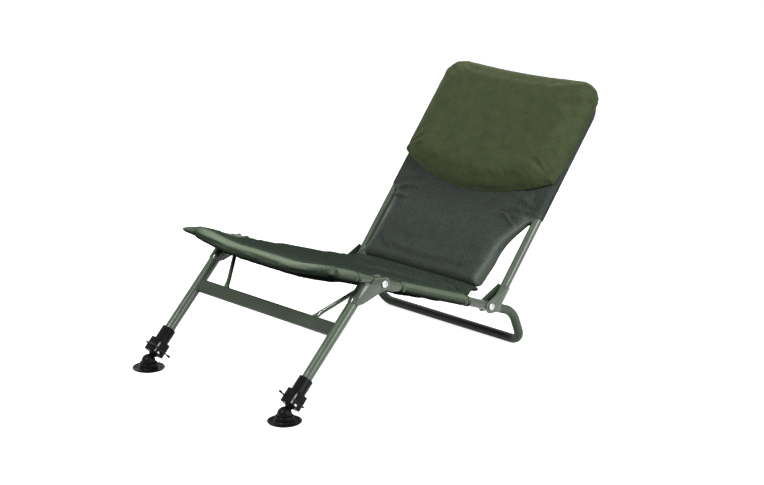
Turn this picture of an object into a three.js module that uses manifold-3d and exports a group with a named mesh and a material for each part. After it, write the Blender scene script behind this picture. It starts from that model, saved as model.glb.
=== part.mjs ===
// Low carp fishing chair: a seat frame with a ground bow, folding front legs with mud feet,
// a folding backrest and padded cloth. Millimetres, +X to the right as seen from the front, +Y to the
// rear, +Z up.

import * as THREE from 'three';
import { mergeVertices } from 'three/addons/utils/BufferGeometryUtils.js';
import Module from 'manifold-3d';

const wasm = await Module();
wasm.setup();

// Frame
const frameHalfWidth = 243;
const tubeDiameter = 22;
const tubeWall = 1.5;
const rearPivotHeight = 127.5;
const pivotSpacing = 371.5;
const frontOverhang = 149.5;
const frontBendRadius = 35;
const frontDip = 16;
const frontDipInset = 133;
const frontDipBendRadius = 400;
const frontSplice = 90;
const rearSplice = 42;
const railTail = 94.2;
const dropBendRadius = 62;
const groundBendRadius = 34;
const spigotLength = 25;
const seatSlope = THREE.MathUtils.degToRad(20.15);
const dropLean = THREE.MathUtils.degToRad(22.2);

// Front legs
const legDiameter = 25;
const legWall = 1.5;
const legOffset = 34.7;
const legLean = THREE.MathUtils.degToRad(44.68);
const ankleHeight = 18.2;
const crossbarHeight = 32;
const crossbarThickness = 14;
const crossbarCorner = 5;
const crossbarAboveAnkle = 200.5;
const strutDiameter = 10;
const strutFootHalfWidth = 11;
const strutFootHeight = 9;
const strutInset = 90;
const strutFootSetBack = 4;
const strutTopSetBack = 19.5;
const strutTopBelowPivot = 24;

// Backrest frame
const recline = THREE.MathUtils.degToRad(38.37);
const backOffset = 25.4;
const backHeight = 588;
const backBendRadius = 60;
const backSplice = 500;

// Folded sheet brackets and pivot bolts
const sheetThickness = 2;
const saddleThickness = 1.2;
const saddleBehindPivot = 48;
const saddleAheadOfPivot = 30;
const saddleBelowAxis = 13;
const earRadius = 17;
const legBracketReach = 81;
const legEarHollow = 46;
const legEarNeck = 31;
const rearBracketTop = 66;
const rearEarLow = 7;
const boltDiameter = 8;
const boltHeadDiameter = 17;
const boltHeadHeight = 5;
const boltHeadRim = 2;
const nutWidth = 13;
const nutHeight = 6.5;
const boltTip = 1.5;

// Lock housings on the legs
const collarDiameter = 34;
const collarTop = 90;
const housingTop = 55;
const housingBottom = 20.5;
const housingHalfWidth = 17.5;
const housingFront = 19;
const housingRear = 20;
const housingCorner = 4.5;
const innerLegDiameter = 19;
const innerLegTop = 300;
const cornerWindow = 9;
const sideWindow = 12;
const sideWindowTop = 30;
const windowFloor = 3.5;
const clipDiameter = 4;
const clipHeight = 35;
const clipHalfSpan = 15.5;
const clipFront = 15;
const clipBendRadius = 5;
const clipRear = 26;
const clipTail = 34;

// Mud feet
const footDiameter = 76;
const footRim = 4;
const footPlate = 2.6;
const footRimWidth = 3;
const ballDiameter = 33;
const cupDiameter = 43;
const cupTop = 16;
const cupLip = 1.2;
const neckDiameter = 15;

// Cloth
const sleeveThickness = 1.7;
const frontSleeveThickness = 2.5;
const frontSleeveStart = 70;
const rearSleeveStart = 72;
const rearSleeveEnd = 309;
const cornerTabLength = 17;
const cornerTabWidth = 34;
const cornerTabThickness = 3;
const seatPanelRear = 120;
const seatEdgeThickness = 12;
const seatEdgeLevel = 2;
const seatTopFront = -3;
const seatTopMiddle = 6;
const seatTopRear = 16;
const seatBottomFront = -29;
const seatBottomRear = -13;
const pivotCutDepth = 13;
const pivotCutBlend = 22;
const creaseHeight = 42;
const creaseAhead = 12;
const creaseInset = 43;
const creaseRoot = 6;
const backPanelBottom = 120;
const waistInset = 47;
const waistEnd = 250;
const padFrontBottom = 36;
const padFrontTop = 12;
const padRearBottom = 4;
const padRearTop = -6;
const padEnd = 262;
const backEdgeThickness = 10;
const backSleeveStart = 248;
const backSleeveEnd = 525;
const cushionWrap = 11;
const cushionTop = 612;
const cushionMiddleBottom = 274;
const cushionSideBottom = 338;
const cushionThickness = 40;
const cushionEdge = 13;
const cushionCorner = 58;
const coverThickness = 2.5;
const coverInset = 3;
const coverTop = 600;

// Clearances
const gap = 0.3;
const slideGap = 0.4;
const overrun = 20;

// Counts
const roundSides = 16;
const smallSides = 12;
const boreSides = 8;
const latheSides = 28;
const bendSteps = 6;
const cornerSteps = 3;
const panelColumns = 14;
const panelRows = 12;

// Worked-out sizes
const tubeRadius = tubeDiameter / 2;
const tubeBore = tubeRadius - tubeWall;
const legRadius = legDiameter / 2;
const boltHole = boltDiameter / 2 + gap;
const legEarInner = legRadius + gap;
const legEarOuter = legEarInner + sheetThickness;
const rearEarInner = tubeRadius + gap;
const rearEarOuter = rearEarInner + sheetThickness;
const frontPivotHeight = rearPivotHeight + pivotSpacing * Math.sin(seatSlope);
const legReach = (frontPivotHeight - ankleHeight + legOffset * Math.sin(legLean)) / Math.cos(legLean);
const frontPivotRun = legReach * Math.sin(legLean) + legOffset * Math.cos(legLean);
const rearPivotRun = frontPivotRun + pivotSpacing * Math.cos(seatSlope);
const frontReach = pivotSpacing + frontOverhang;
const foldAngle = legLean - seatSlope;
const backAngle = recline - seatSlope;

// Materials
const paint = new THREE.MeshStandardMaterial({ color: '#6d7c70', roughness: 0.4, metalness: 0.6 });
const barPaint = new THREE.MeshStandardMaterial({ color: '#5c6b58', roughness: 0.55, metalness: 0.4 });
const plastic = new THREE.MeshStandardMaterial({ color: '#17181a', roughness: 0.5, metalness: 0 });
const bright = new THREE.MeshStandardMaterial({ color: '#c9cccd', roughness: 0.25, metalness: 0.9 });
const cloth = new THREE.MeshStandardMaterial({ color: '#3b4240', roughness: 0.9, metalness: 0 });
const fleece = new THREE.MeshStandardMaterial({ color: '#4c5a38', roughness: 1, metalness: 0 });

// Solids

function solid(geometry) {
  const bare = geometry.clone();
  bare.deleteAttribute('normal');
  bare.deleteAttribute('uv');
  const merged = mergeVertices(bare);
  const vertProperties = new Float32Array(merged.attributes.position.array);
  const triVerts = new Uint32Array(merged.index.array);
  return new wasm.Manifold(new wasm.Mesh({ numProp: 3, vertProperties, triVerts }));
}

function geometryOf(manifold) {
  const mesh = manifold.getMesh();
  const geometry = new THREE.BufferGeometry();
  geometry.setAttribute('position', new THREE.BufferAttribute(new Float32Array(mesh.vertProperties), 3));
  geometry.setIndex(new THREE.BufferAttribute(new Uint32Array(mesh.triVerts), 1));
  geometry.computeVertexNormals();
  return geometry;
}

function cut(geometry, ...tools) {
  return geometryOf(tools.reduce((rest, tool) => rest.subtract(solid(tool)), solid(geometry)));
}

function join(geometry, ...others) {
  return geometryOf(others.reduce((sum, other) => sum.add(solid(other)), solid(geometry)));
}

function common(geometry, other) {
  return geometryOf(solid(geometry).intersect(solid(other)));
}

// Outlines and sections

function circle(radius, sides = roundSides) {
  return Array.from({ length: sides }, (_, i) => {
    const turn = (i + 0.5) / sides * Math.PI * 2;
    return new THREE.Vector2(radius * Math.cos(turn), radius * Math.sin(turn));
  });
}

function ringShape(outer, inner, innerSides = roundSides) {
  const shape = new THREE.Shape(circle(outer));
  shape.holes.push(new THREE.Path(circle(inner, innerSides)));
  return shape;
}

function arc(centre, radius, from, to, steps = roundSides / 2) {
  return Array.from({ length: steps + 1 }, (_, i) => {
    const turn = from + (to - from) * i / steps;
    return new THREE.Vector2(centre.x + radius * Math.cos(turn), centre.y + radius * Math.sin(turn));
  });
}

function roundedRectangle(left, right, low, high, corner) {
  const quarter = Math.PI / 2;
  return [
    ...arc({ x: right - corner, y: low + corner }, corner, -quarter, 0, cornerSteps),
    ...arc({ x: right - corner, y: high - corner }, corner, 0, quarter, cornerSteps),
    ...arc({ x: left + corner, y: high - corner }, corner, quarter, 2 * quarter, cornerSteps),
    ...arc({ x: left + corner, y: low + corner }, corner, 2 * quarter, 3 * quarter, cornerSteps),
  ];
}

// A route of straight runs with a round bend at each inner corner

class BentRoute extends THREE.Curve {
  constructor(corners, bendRadii) {
    super();
    const last = corners.length - 1;
    const heading = (i) => corners[i + 1].clone().sub(corners[i]).normalize();
    this.stations = [{ point: corners[0], tangent: heading(0) }];
    for (let i = 1; i < last; i += 1) {
      const before = heading(i - 1);
      const after = heading(i);
      const turn = before.angleTo(after);
      const run = bendRadii[i - 1] * Math.tan(turn / 2);
      const start = corners[i].clone().addScaledVector(before, -run);
      const inward = after.clone().addScaledVector(before, -after.dot(before)).normalize();
      for (let k = 0; k <= bendSteps; k += 1) {
        const angle = turn * k / bendSteps;
        const point = start.clone()
          .addScaledVector(before, bendRadii[i - 1] * Math.sin(angle))
          .addScaledVector(inward, bendRadii[i - 1] * (1 - Math.cos(angle)));
        const tangent = before.clone().multiplyScalar(Math.cos(angle));
        tangent.addScaledVector(inward, Math.sin(angle));
        this.stations.push({ point, tangent });
      }
    }
    this.stations.push({ point: corners[last], tangent: heading(last - 1) });
  }

  get steps() {
    return this.stations.length - 1;
  }

  getPointAt(share, target = new THREE.Vector3()) {
    return target.copy(this.stations[Math.round(share * this.steps)].point);
  }

  getTangentAt(share, target = new THREE.Vector3()) {
    return target.copy(this.stations[Math.round(share * this.steps)].tangent);
  }
}

function sweep(shape, corners, bendRadii = []) {
  const route = new BentRoute(corners, bendRadii);
  return new THREE.ExtrudeGeometry(shape, { extrudePath: route, steps: route.steps, bevelEnabled: false });
}

// A bar of a section drawn in x and y, standing along +Z from one height to another
function upright(shape, low, high) {
  const geometry = new THREE.ExtrudeGeometry(shape, { depth: high - low, bevelEnabled: false });
  return geometry.translate(0, 0, low);
}

// A bar of a section drawn in x and z, lying along -Y from one distance ahead to another
function lengthwise(shape, near, far) {
  const geometry = upright(shape, near, far);
  const x = new THREE.Vector3(1, 0, 0);
  const y = new THREE.Vector3(0, 0, 1);
  const z = new THREE.Vector3(0, -1, 0);
  return geometry.applyMatrix4(new THREE.Matrix4().makeBasis(x, y, z));
}

// A plate of an outline drawn in y and z, from one x to another
function sideways(points, left, right) {
  const geometry = upright(new THREE.Shape(points), left, right);
  const x = new THREE.Vector3(0, 1, 0);
  const y = new THREE.Vector3(0, 0, 1);
  const z = new THREE.Vector3(1, 0, 0);
  return geometry.applyMatrix4(new THREE.Matrix4().makeBasis(x, y, z));
}

function crossHole(radius, y, z) {
  const points = circle(radius, smallSides).map((p) => new THREE.Vector2(p.x + y, p.y + z));
  return sideways(points, -overrun, overrun);
}

// A body of revolution about +X, from a profile of distances along x and radii
function turned(profile, sides = roundSides) {
  const points = profile.map(([along, radius]) => new THREE.Vector2(radius, along));
  return new THREE.LatheGeometry(points, sides).rotateZ(-Math.PI / 2);
}

// A closed pad between two grids of points, with walls along its edges
function pad(place) {
  const positions = [];
  const faces = [];
  const layer = (panelColumns + 1) * (panelRows + 1);
  const index = (side, i, j) => side * layer + j * (panelColumns + 1) + i;
  for (const side of [0, 1]) {
    for (let j = 0; j <= panelRows; j += 1) {
      for (let i = 0; i <= panelColumns; i += 1) {
        positions.push(...place(2 * i / panelColumns - 1, j / panelRows, side));
      }
    }
  }
  const quad = (a, b, c, d) => faces.push(a, b, c, a, c, d);
  for (let j = 0; j < panelRows; j += 1) {
    for (let i = 0; i < panelColumns; i += 1) {
      quad(index(1, i, j), index(1, i + 1, j), index(1, i + 1, j + 1), index(1, i, j + 1));
      quad(index(0, i, j), index(0, i, j + 1), index(0, i + 1, j + 1), index(0, i + 1, j));
    }
    quad(index(0, 0, j), index(1, 0, j), index(1, 0, j + 1), index(0, 0, j + 1));
    const right = panelColumns;
    quad(index(0, right, j), index(0, right, j + 1), index(1, right, j + 1), index(1, right, j));
  }
  for (let i = 0; i < panelColumns; i += 1) {
    quad(index(0, i, 0), index(0, i + 1, 0), index(1, i + 1, 0), index(1, i, 0));
    const top = panelRows;
    quad(index(0, i, top), index(1, i, top), index(1, i + 1, top), index(0, i + 1, top));
  }
  const geometry = new THREE.BufferGeometry();
  geometry.setAttribute('position', new THREE.Float32BufferAttribute(positions, 3));
  geometry.setIndex(faces);
  geometry.computeVertexNormals();
  return geometry;
}

// Groups: the seat frame and the backrest turn about the rear pivots, the legs about the front ones

const chair = new THREE.Group();

function tilted(y, z, lean) {
  const group = new THREE.Group();
  group.position.set(0, y, z);
  group.rotation.x = -lean;
  chair.add(group);
  return group;
}

const seat = tilted(rearPivotRun, rearPivotHeight, seatSlope);
const back = tilted(rearPivotRun, rearPivotHeight, recline);
const legs = tilted(frontPivotRun, frontPivotHeight, legLean);
const level = tilted(0, 0, 0);

function add(group, name, geometry, material, x = 0, y = 0, z = 0) {
  const mesh = new THREE.Mesh(geometry, material);
  mesh.name = name;
  mesh.position.set(x, y, z);
  group.add(mesh);
  return mesh;
}

const sides = [['right', 1], ['left', -1]];

// Seat frame

function rail() {
  const length = frontReach - frontOverhang + frontSplice;
  const tube = lengthwise(ringShape(tubeRadius, tubeBore), -rearSplice, length);
  return cut(tube, crossHole(boltHole, 0, 0), crossHole(boltHole, -pivotSpacing, 0));
}

// The end of a bow, swaged down to plug into the straight tube before it
function swagedEnd(at, direction) {
  const outer = tubeBore - gap;
  const inner = outer - tubeWall;
  const along = (distance) => at.clone().addScaledVector(direction, distance);
  const plug = sweep(ringShape(outer, inner, boreSides), [along(-spigotLength), along(2 * tubeWall)]);
  const shoulder = sweep(ringShape(tubeRadius - tubeWall / 2, inner, boreSides),
    [along(0), along(2 * tubeWall)]);
  return [plug, shoulder];
}

function bentTube(corners, bendRadii) {
  const last = corners.length - 1;
  const heading = (from, to) => corners[to].clone().sub(corners[from]).normalize();
  return join(sweep(ringShape(tubeRadius, tubeBore, boreSides), corners, bendRadii),
    ...swagedEnd(corners[0], heading(0, 1)), ...swagedEnd(corners[last], heading(last, last - 1)));
}

function frontBowCorners(start) {
  const half = [
    new THREE.Vector3(frameHalfWidth, -start, 0),
    new THREE.Vector3(frameHalfWidth, -frontReach, 0),
    new THREE.Vector3(frameHalfWidth - frontDipInset, -frontReach, -frontDip),
  ];
  const mirrored = half.map((p) => new THREE.Vector3(-p.x, p.y, p.z)).reverse();
  return [...half, ...mirrored];
}

const frontBendRadii = [frontBendRadius, frontDipBendRadius, frontDipBendRadius, frontBendRadius];

function frontBow() {
  return bentTube(frontBowCorners(pivotSpacing + frontSplice + gap), frontBendRadii);
}

function groundBow() {
  const rearward = new THREE.Vector3(0, Math.cos(seatSlope), -Math.sin(seatSlope));
  const pivot = new THREE.Vector3(frameHalfWidth, rearPivotRun, rearPivotHeight);
  const start = pivot.clone().addScaledVector(rearward, rearSplice + gap);
  const knee = pivot.clone().addScaledVector(rearward, railTail);
  const drop = knee.z - tubeRadius;
  const heel = new THREE.Vector3(frameHalfWidth, knee.y + drop * Math.tan(dropLean), tubeRadius);
  const mirror = (p) => new THREE.Vector3(-p.x, p.y, p.z);
  return bentTube([start, knee, heel, mirror(heel), mirror(knee), mirror(start)],
    [dropBendRadius, groundBendRadius, groundBendRadius, dropBendRadius]);
}

function saddle() {
  const inner = tubeRadius + gap;
  const outer = inner + saddleThickness;
  const low = new THREE.Vector2(outer, -saddleBelowAxis);
  const section = new THREE.Shape([
    low,
    ...arc({ x: 0, y: 0 }, outer, 0, Math.PI),
    new THREE.Vector2(-outer, -saddleBelowAxis),
    new THREE.Vector2(-inner, -saddleBelowAxis),
    ...arc({ x: 0, y: 0 }, inner, Math.PI, 0),
    new THREE.Vector2(inner, -saddleBelowAxis),
  ]);
  const channel = lengthwise(section, -saddleBehindPivot, saddleAheadOfPivot);
  const endRadius = (saddleBelowAxis + outer) / 2;
  const middle = (outer - saddleBelowAxis) / 2;
  const outline = sideways([
    new THREE.Vector2(-saddleAheadOfPivot, outer),
    new THREE.Vector2(-saddleAheadOfPivot, -saddleBelowAxis),
    ...arc({ x: saddleBehindPivot - endRadius, y: middle }, endRadius, -Math.PI / 2, Math.PI / 2),
  ], -overrun, overrun);
  return cut(common(channel, outline), crossHole(boltHole, 0, 0));
}

// A bolt with its head outside, at the origin, and the nut that sits inside

function bolt(earOuter) {
  const seatFace = earOuter + gap;
  const headRadius = boltHeadDiameter / 2;
  const dome = arc({ x: 0, y: 0 }, 1, 0, Math.PI / 2, cornerSteps).map((p) => [
    seatFace + boltHeadRim + (boltHeadHeight - boltHeadRim) * p.y,
    headRadius * p.x,
  ]);
  return turned([
    [-seatFace - nutHeight - boltTip, 0],
    [-seatFace - nutHeight - boltTip, boltDiameter / 2],
    [seatFace, boltDiameter / 2],
    [seatFace, headRadius],
    ...dome.slice(0, -1),
    [seatFace + boltHeadHeight, 0],
  ], latheSides / 2);
}

function nut(earOuter) {
  const across = new THREE.Shape(circle(nutWidth / Math.sqrt(3), 6));
  across.holes.push(new THREE.Path(circle(boltHole, smallSides)));
  const x = new THREE.Vector3(0, 1, 0);
  const y = new THREE.Vector3(0, 0, 1);
  const z = new THREE.Vector3(1, 0, 0);
  const low = -earOuter - gap - nutHeight;
  return upright(across, low, low + nutHeight).applyMatrix4(new THREE.Matrix4().makeBasis(x, y, z));
}

function addPivot(group, name, earOuter, y) {
  for (const [side, sign] of sides) {
    const turn = sign > 0 ? 0 : Math.PI;
    add(group, `${name}_bolt_${side}`, bolt(earOuter).rotateZ(turn), bright, sign * frameHalfWidth, y, 0);
    add(group, `${name}_nut_${side}`, nut(earOuter).rotateZ(turn), bright, sign * frameHalfWidth, y, 0);
  }
}

for (const [side, sign] of sides) {
  add(seat, `rail_${side}`, rail(), paint, sign * frameHalfWidth);
  add(seat, `saddle_${side}`, saddle(), paint, sign * frameHalfWidth, -pivotSpacing);
}
add(seat, 'front_bow', frontBow(), paint);
add(level, 'ground_bow', groundBow(), paint);
addPivot(seat, 'front_pivot', legEarOuter, -pivotSpacing);
addPivot(seat, 'rear_pivot', rearEarOuter, 0);

// Front legs, drawn with the pivot at the origin and the leg standing along z

const legBottom = -legReach + housingTop + gap;
const legTop = -legOffset * Math.tan(foldAngle) - (tubeRadius + 2 * gap) / Math.cos(foldAngle)
  - legRadius * Math.tan(foldAngle);

function legTube() {
  return upright(ringShape(legRadius, legRadius - legWall), legBottom, legTop);
}

// A point given along the rail ahead of the pivot and above it, in the leg's own y and z
function fromRail(ahead, above) {
  return new THREE.Vector2(
    -ahead * Math.cos(foldAngle) - above * Math.sin(foldAngle),
    -ahead * Math.sin(foldAngle) + above * Math.cos(foldAngle),
  );
}

function legBracket() {
  const rearEdge = new THREE.Vector2(-legOffset + legRadius, -legBracketReach);
  const frontEdge = new THREE.Vector2(-legOffset - legEarOuter, -legBracketReach);
  const stop = -(tubeRadius + gap);
  const frontAhead = (legOffset + legEarOuter - stop * Math.sin(foldAngle)) / Math.cos(foldAngle);
  const topTurn = Math.PI - foldAngle - Math.PI / 3;
  const outline = [
    rearEdge,
    ...arc({ x: 0, y: 0 }, earRadius, -Math.PI / 3, topTurn),
    fromRail(legEarNeck, earRadius / 3),
    fromRail((legEarNeck + legEarHollow) / 2, stop + earRadius / 3),
    fromRail(legEarHollow, stop),
    fromRail(frontAhead, stop),
    frontEdge,
  ];
  const section = new THREE.Shape([
    ...arc({ x: 0, y: -legOffset }, legEarOuter, Math.PI, 2 * Math.PI),
    new THREE.Vector2(legEarOuter, earRadius + overrun),
    new THREE.Vector2(legEarInner, earRadius + overrun),
    ...arc({ x: 0, y: -legOffset }, legEarInner, 2 * Math.PI, Math.PI),
    new THREE.Vector2(-legEarInner, earRadius + overrun),
    new THREE.Vector2(-legEarOuter, earRadius + overrun),
  ]);
  const sheet = upright(section, -legBracketReach - overrun, earRadius + overrun);
  return cut(common(sheet, sideways(outline, -overrun, overrun)), crossHole(boltHole, 0, 0));
}

function crossbar() {
  const low = -legReach + crossbarAboveAnkle;
  const half = crossbarThickness / 2;
  const outline = roundedRectangle(-legOffset - half, -legOffset + half, low, low + crossbarHeight,
    crossbarCorner);
  const reach = frameHalfWidth - legRadius / 2;
  const bar = sideways(outline, -reach, reach);
  const ends = sides.map(([, sign]) => upright(new THREE.Shape(circle(legRadius + gap)), low - overrun,
    low + crossbarHeight + overrun).translate(sign * frameHalfWidth, -legOffset, 0));
  return cut(bar, ...ends);
}

function strut(sign) {
  const barTop = -legReach + crossbarAboveAnkle + crossbarHeight;
  const footX = sign * (frameHalfWidth - strutInset);
  const topX = sign * (frameHalfWidth - legEarOuter - gap - strutDiameter / 2);
  const foot = new THREE.Vector3(footX, -legOffset + strutFootSetBack, barTop + strutDiameter / 2);
  const top = new THREE.Vector3(topX, -legOffset + strutTopSetBack, -strutTopBelowPivot);
  const rod = sweep(new THREE.Shape(circle(strutDiameter / 2, smallSides)), [foot, top]);
  const low = barTop + gap;
  const flare = upright(new THREE.Shape(roundedRectangle(-strutFootHalfWidth, strutFootHalfWidth,
    -strutDiameter / 2, strutDiameter / 2, strutDiameter / 4)), low, low + strutFootHeight);
  return join(rod, flare.translate(foot.x, foot.y, 0));
}

for (const [side, sign] of sides) {
  add(legs, `leg_tube_${side}`, legTube(), paint, sign * frameHalfWidth, -legOffset);
  add(legs, `leg_bracket_${side}`, legBracket(), paint, sign * frameHalfWidth);
  add(legs, `strut_${side}`, strut(sign), paint);
}
add(legs, 'crossbar', crossbar(), barPaint);

// Lock housings, inner legs and locking clips, drawn with the ankle at the origin

function housing() {
  const collar = upright(new THREE.Shape(circle(collarDiameter / 2)), housingTop - housingCorner, collarTop);
  const block = upright(new THREE.Shape(roundedRectangle(-housingHalfWidth, housingHalfWidth,
    -housingFront, housingRear, housingCorner)), housingBottom, housingTop);
  const legBore = upright(new THREE.Shape(circle(legRadius + gap)), housingTop, collarTop + overrun);
  const bore = upright(new THREE.Shape(circle(innerLegDiameter / 2 + slideGap)), -overrun,
    collarTop + overrun);
  const low = housingBottom + windowFloor;
  const high = housingTop - windowFloor;
  const reach = 2 * housingRear;
  const slot = (turn) => upright(new THREE.Shape(roundedRectangle(0, reach, -cornerWindow / 2,
    cornerWindow / 2, cornerWindow / 4)), low, high).rotateZ(turn);
  const frontOuter = slot(-Math.PI / 4);
  const rearInner = slot(3 * Math.PI / 4);
  const window = sideways([
    new THREE.Vector2(-sideWindow / 2, low),
    new THREE.Vector2(sideWindow / 2, low),
    new THREE.Vector2(sideWindow / 2, sideWindowTop),
    new THREE.Vector2(-sideWindow / 2, sideWindowTop),
  ], -reach, reach);
  const groove = (sign) => {
    const half = clipDiameter / 2 + slideGap;
    const inner = clipHalfSpan - half;
    const left = sign > 0 ? inner : -inner - reach;
    return sideways([
      new THREE.Vector2(-reach, clipHeight - half),
      new THREE.Vector2(reach, clipHeight - half),
      new THREE.Vector2(reach, clipHeight + half),
      new THREE.Vector2(-reach, clipHeight + half),
    ], left, left + reach);
  };
  return cut(join(block, collar), legBore, bore, frontOuter, rearInner, window, groove(1), groove(-1));
}

function innerLeg() {
  const neckTop = housingBottom;
  const ball = ballDiameter / 2 + gap;
  const radius = innerLegDiameter / 2;
  const tube = upright(ringShape(radius, radius - legWall, boreSides), neckTop, innerLegTop);
  const neck = upright(new THREE.Shape(circle(radius - legWall / 2)), neckTop, neckTop + windowFloor);
  const stem = upright(new THREE.Shape(circle(neckDiameter / 2)), 0, neckTop + legWall);
  return cut(join(tube, neck, stem), new THREE.SphereGeometry(ball, latheSides, roundSides));
}

function lockClip() {
  const corners = [
    new THREE.Vector3(clipHalfSpan, -clipFront, clipHeight),
    new THREE.Vector3(clipHalfSpan, clipRear, clipHeight),
    new THREE.Vector3(-clipHalfSpan, clipRear, clipHeight),
    new THREE.Vector3(-clipHalfSpan, -clipTail, clipHeight),
  ];
  return sweep(new THREE.Shape(circle(clipDiameter / 2, smallSides)), corners,
    [clipBendRadius, clipBendRadius]);
}

for (const [side, sign] of sides) {
  const turn = sign > 0 ? 0 : Math.PI;
  const x = sign * frameHalfWidth;
  add(legs, `lock_housing_${side}`, housing().rotateZ(turn), plastic, x, -legOffset, -legReach);
  add(legs, `inner_leg_${side}`, innerLeg(), bright, x, -legOffset, -legReach);
  add(legs, `lock_clip_${side}`, lockClip().rotateZ(turn), bright, x, -legOffset, -legReach);
}

// Mud feet, drawn standing on the ground at the origin

function mudFoot() {
  const foot = footDiameter / 2;
  const cup = cupDiameter / 2;
  const cavity = ballDiameter / 2 + gap;
  const mouth = Math.acos((ankleHeight - cupTop) / cavity);
  const bowl = Array.from({ length: bendSteps + 1 }, (_, i) => {
    const turn = mouth * (1 - i / bendSteps);
    return new THREE.Vector2(cavity * Math.sin(turn), ankleHeight - cavity * Math.cos(turn));
  });
  bowl[bendSteps].x = 0;
  const profile = [
    new THREE.Vector2(0, 0),
    new THREE.Vector2(foot, 0),
    new THREE.Vector2(foot, footRim),
    new THREE.Vector2(foot - footRimWidth, footRim),
    new THREE.Vector2(foot - 1.5 * footRimWidth, footPlate),
    new THREE.Vector2(cup + footPlate, footPlate),
    new THREE.Vector2(cup, 2 * footPlate),
    new THREE.Vector2(cup, cupTop - cupLip),
    new THREE.Vector2(cup - cupLip, cupTop),
    ...bowl,
  ];
  return new THREE.LatheGeometry(profile, latheSides).rotateX(Math.PI / 2);
}

for (const [side, sign] of sides) {
  const ball = new THREE.SphereGeometry(ballDiameter / 2, roundSides, smallSides);
  add(level, `ankle_ball_${side}`, ball, plastic, sign * frameHalfWidth, 0, ankleHeight);
  add(level, `mud_foot_${side}`, mudFoot(), plastic, sign * frameHalfWidth);
}

// Backrest frame, drawn with the pivot at the origin and the tubes standing along z

const heelRise = (backOffset + tubeRadius) * Math.sin(backAngle);
const backStop = (tubeRadius + 2 * gap + heelRise) / Math.cos(backAngle);

function backTube() {
  return upright(ringShape(tubeRadius, tubeBore), backStop, backSplice);
}

function topBow() {
  const start = backSplice + gap;
  return bentTube([
    new THREE.Vector3(frameHalfWidth, backOffset, start),
    new THREE.Vector3(frameHalfWidth, backOffset, backHeight),
    new THREE.Vector3(-frameHalfWidth, backOffset, backHeight),
    new THREE.Vector3(-frameHalfWidth, backOffset, start),
  ], [backBendRadius, backBendRadius]);
}

// The bend of the sheet ends on the rail, where it stops the backrest, and the ears reach lower
function rearBracket() {
  const rear = backOffset + rearEarOuter;
  const wrapLow = (along) => (tubeRadius + gap + along * Math.sin(backAngle)) / Math.cos(backAngle);
  const outline = [
    ...arc({ x: 0, y: 0 }, earRadius, Math.PI, 1.6 * Math.PI),
    new THREE.Vector2(rear, rearEarLow),
    new THREE.Vector2(rear, rearBracketTop),
    new THREE.Vector2(backOffset - tubeRadius, rearBracketTop - sheetThickness),
  ];
  const section = new THREE.Shape([
    new THREE.Vector2(rearEarOuter, -overrun),
    ...arc({ x: 0, y: backOffset }, rearEarOuter, 0, Math.PI),
    new THREE.Vector2(-rearEarOuter, -overrun),
    new THREE.Vector2(-rearEarInner, -overrun),
    ...arc({ x: 0, y: backOffset }, rearEarInner, Math.PI, 0),
    new THREE.Vector2(rearEarInner, -overrun),
  ]);
  const sheet = upright(section, -earRadius - overrun, rearBracketTop + overrun);
  const railPath = sideways([
    new THREE.Vector2(-overrun, wrapLow(-overrun)),
    new THREE.Vector2(-overrun, -4 * overrun),
    new THREE.Vector2(rear + overrun, -4 * overrun),
    new THREE.Vector2(rear + overrun, wrapLow(rear + overrun)),
  ], -rearEarInner, rearEarInner);
  return cut(common(sheet, sideways(outline, -overrun, overrun)), railPath, crossHole(boltHole, 0, 0));
}

for (const [side, sign] of sides) {
  add(back, `back_tube_${side}`, backTube(), paint, sign * frameHalfWidth, backOffset);
  add(back, `rear_bracket_${side}`, rearBracket(), paint, sign * frameHalfWidth);
}
add(back, 'top_bow', topBow(), paint);

// Cloth of the seat

const sleeveRadius = tubeRadius + gap + sleeveThickness;
const hemRadius = tubeRadius + gap + frontSleeveThickness;
const seatSide = frameHalfWidth - hemRadius - gap;
const seatFront = frontReach - hemRadius - gap;
const hemStart = frontReach - frontBendRadius - gap;

function smooth(share) {
  const held = Math.min(1, Math.max(0, share));
  return held * held * (3 - 2 * held);
}

// Half width of the seat panel at a distance ahead of the rear pivot
function seatHalfWidth(ahead) {
  const middle = pivotSpacing + (frontSleeveStart - saddleBehindPivot) / 2;
  const halfCut = (frontSleeveStart + saddleBehindPivot) / 2;
  const inCut = 1 - smooth((Math.abs(ahead - middle) - halfCut) / pivotCutBlend);
  const past = ahead - (frontReach - frontBendRadius);
  const inner = frontBendRadius - hemRadius - gap;
  const corner = past > 0 ? inner - Math.sqrt(Math.max(0, inner * inner - past * past)) : 0;
  return seatSide - pivotCutDepth * inCut - corner;
}

function seatPanel() {
  return pad((across, along, side) => {
    const ahead = seatFront + (seatPanelRear - seatFront) * along;
    const toRear = (pivotSpacing - ahead) / (pivotSpacing - seatPanelRear);
    const toFront = (ahead - pivotSpacing) / (seatFront - pivotSpacing);
    const top = THREE.MathUtils.lerp(THREE.MathUtils.lerp(seatTopMiddle, seatTopRear, smooth(toRear)),
      seatTopFront, smooth(toFront));
    const bottom = THREE.MathUtils.lerp(seatBottomFront, seatBottomRear, smooth(toRear));
    const crown = Math.sqrt(1 - Math.abs(across) ** 3);
    const rim = seatEdgeThickness / 2;
    const up = THREE.MathUtils.lerp(seatEdgeLevel + rim, top, crown);
    const down = THREE.MathUtils.lerp(seatEdgeLevel - rim, bottom, crown);
    return [across * seatHalfWidth(ahead), -ahead, side ? up : down];
  });
}

function frontHem() {
  return sweep(ringShape(hemRadius, tubeRadius + gap), frontBowCorners(hemStart), frontBendRadii);
}

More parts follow.
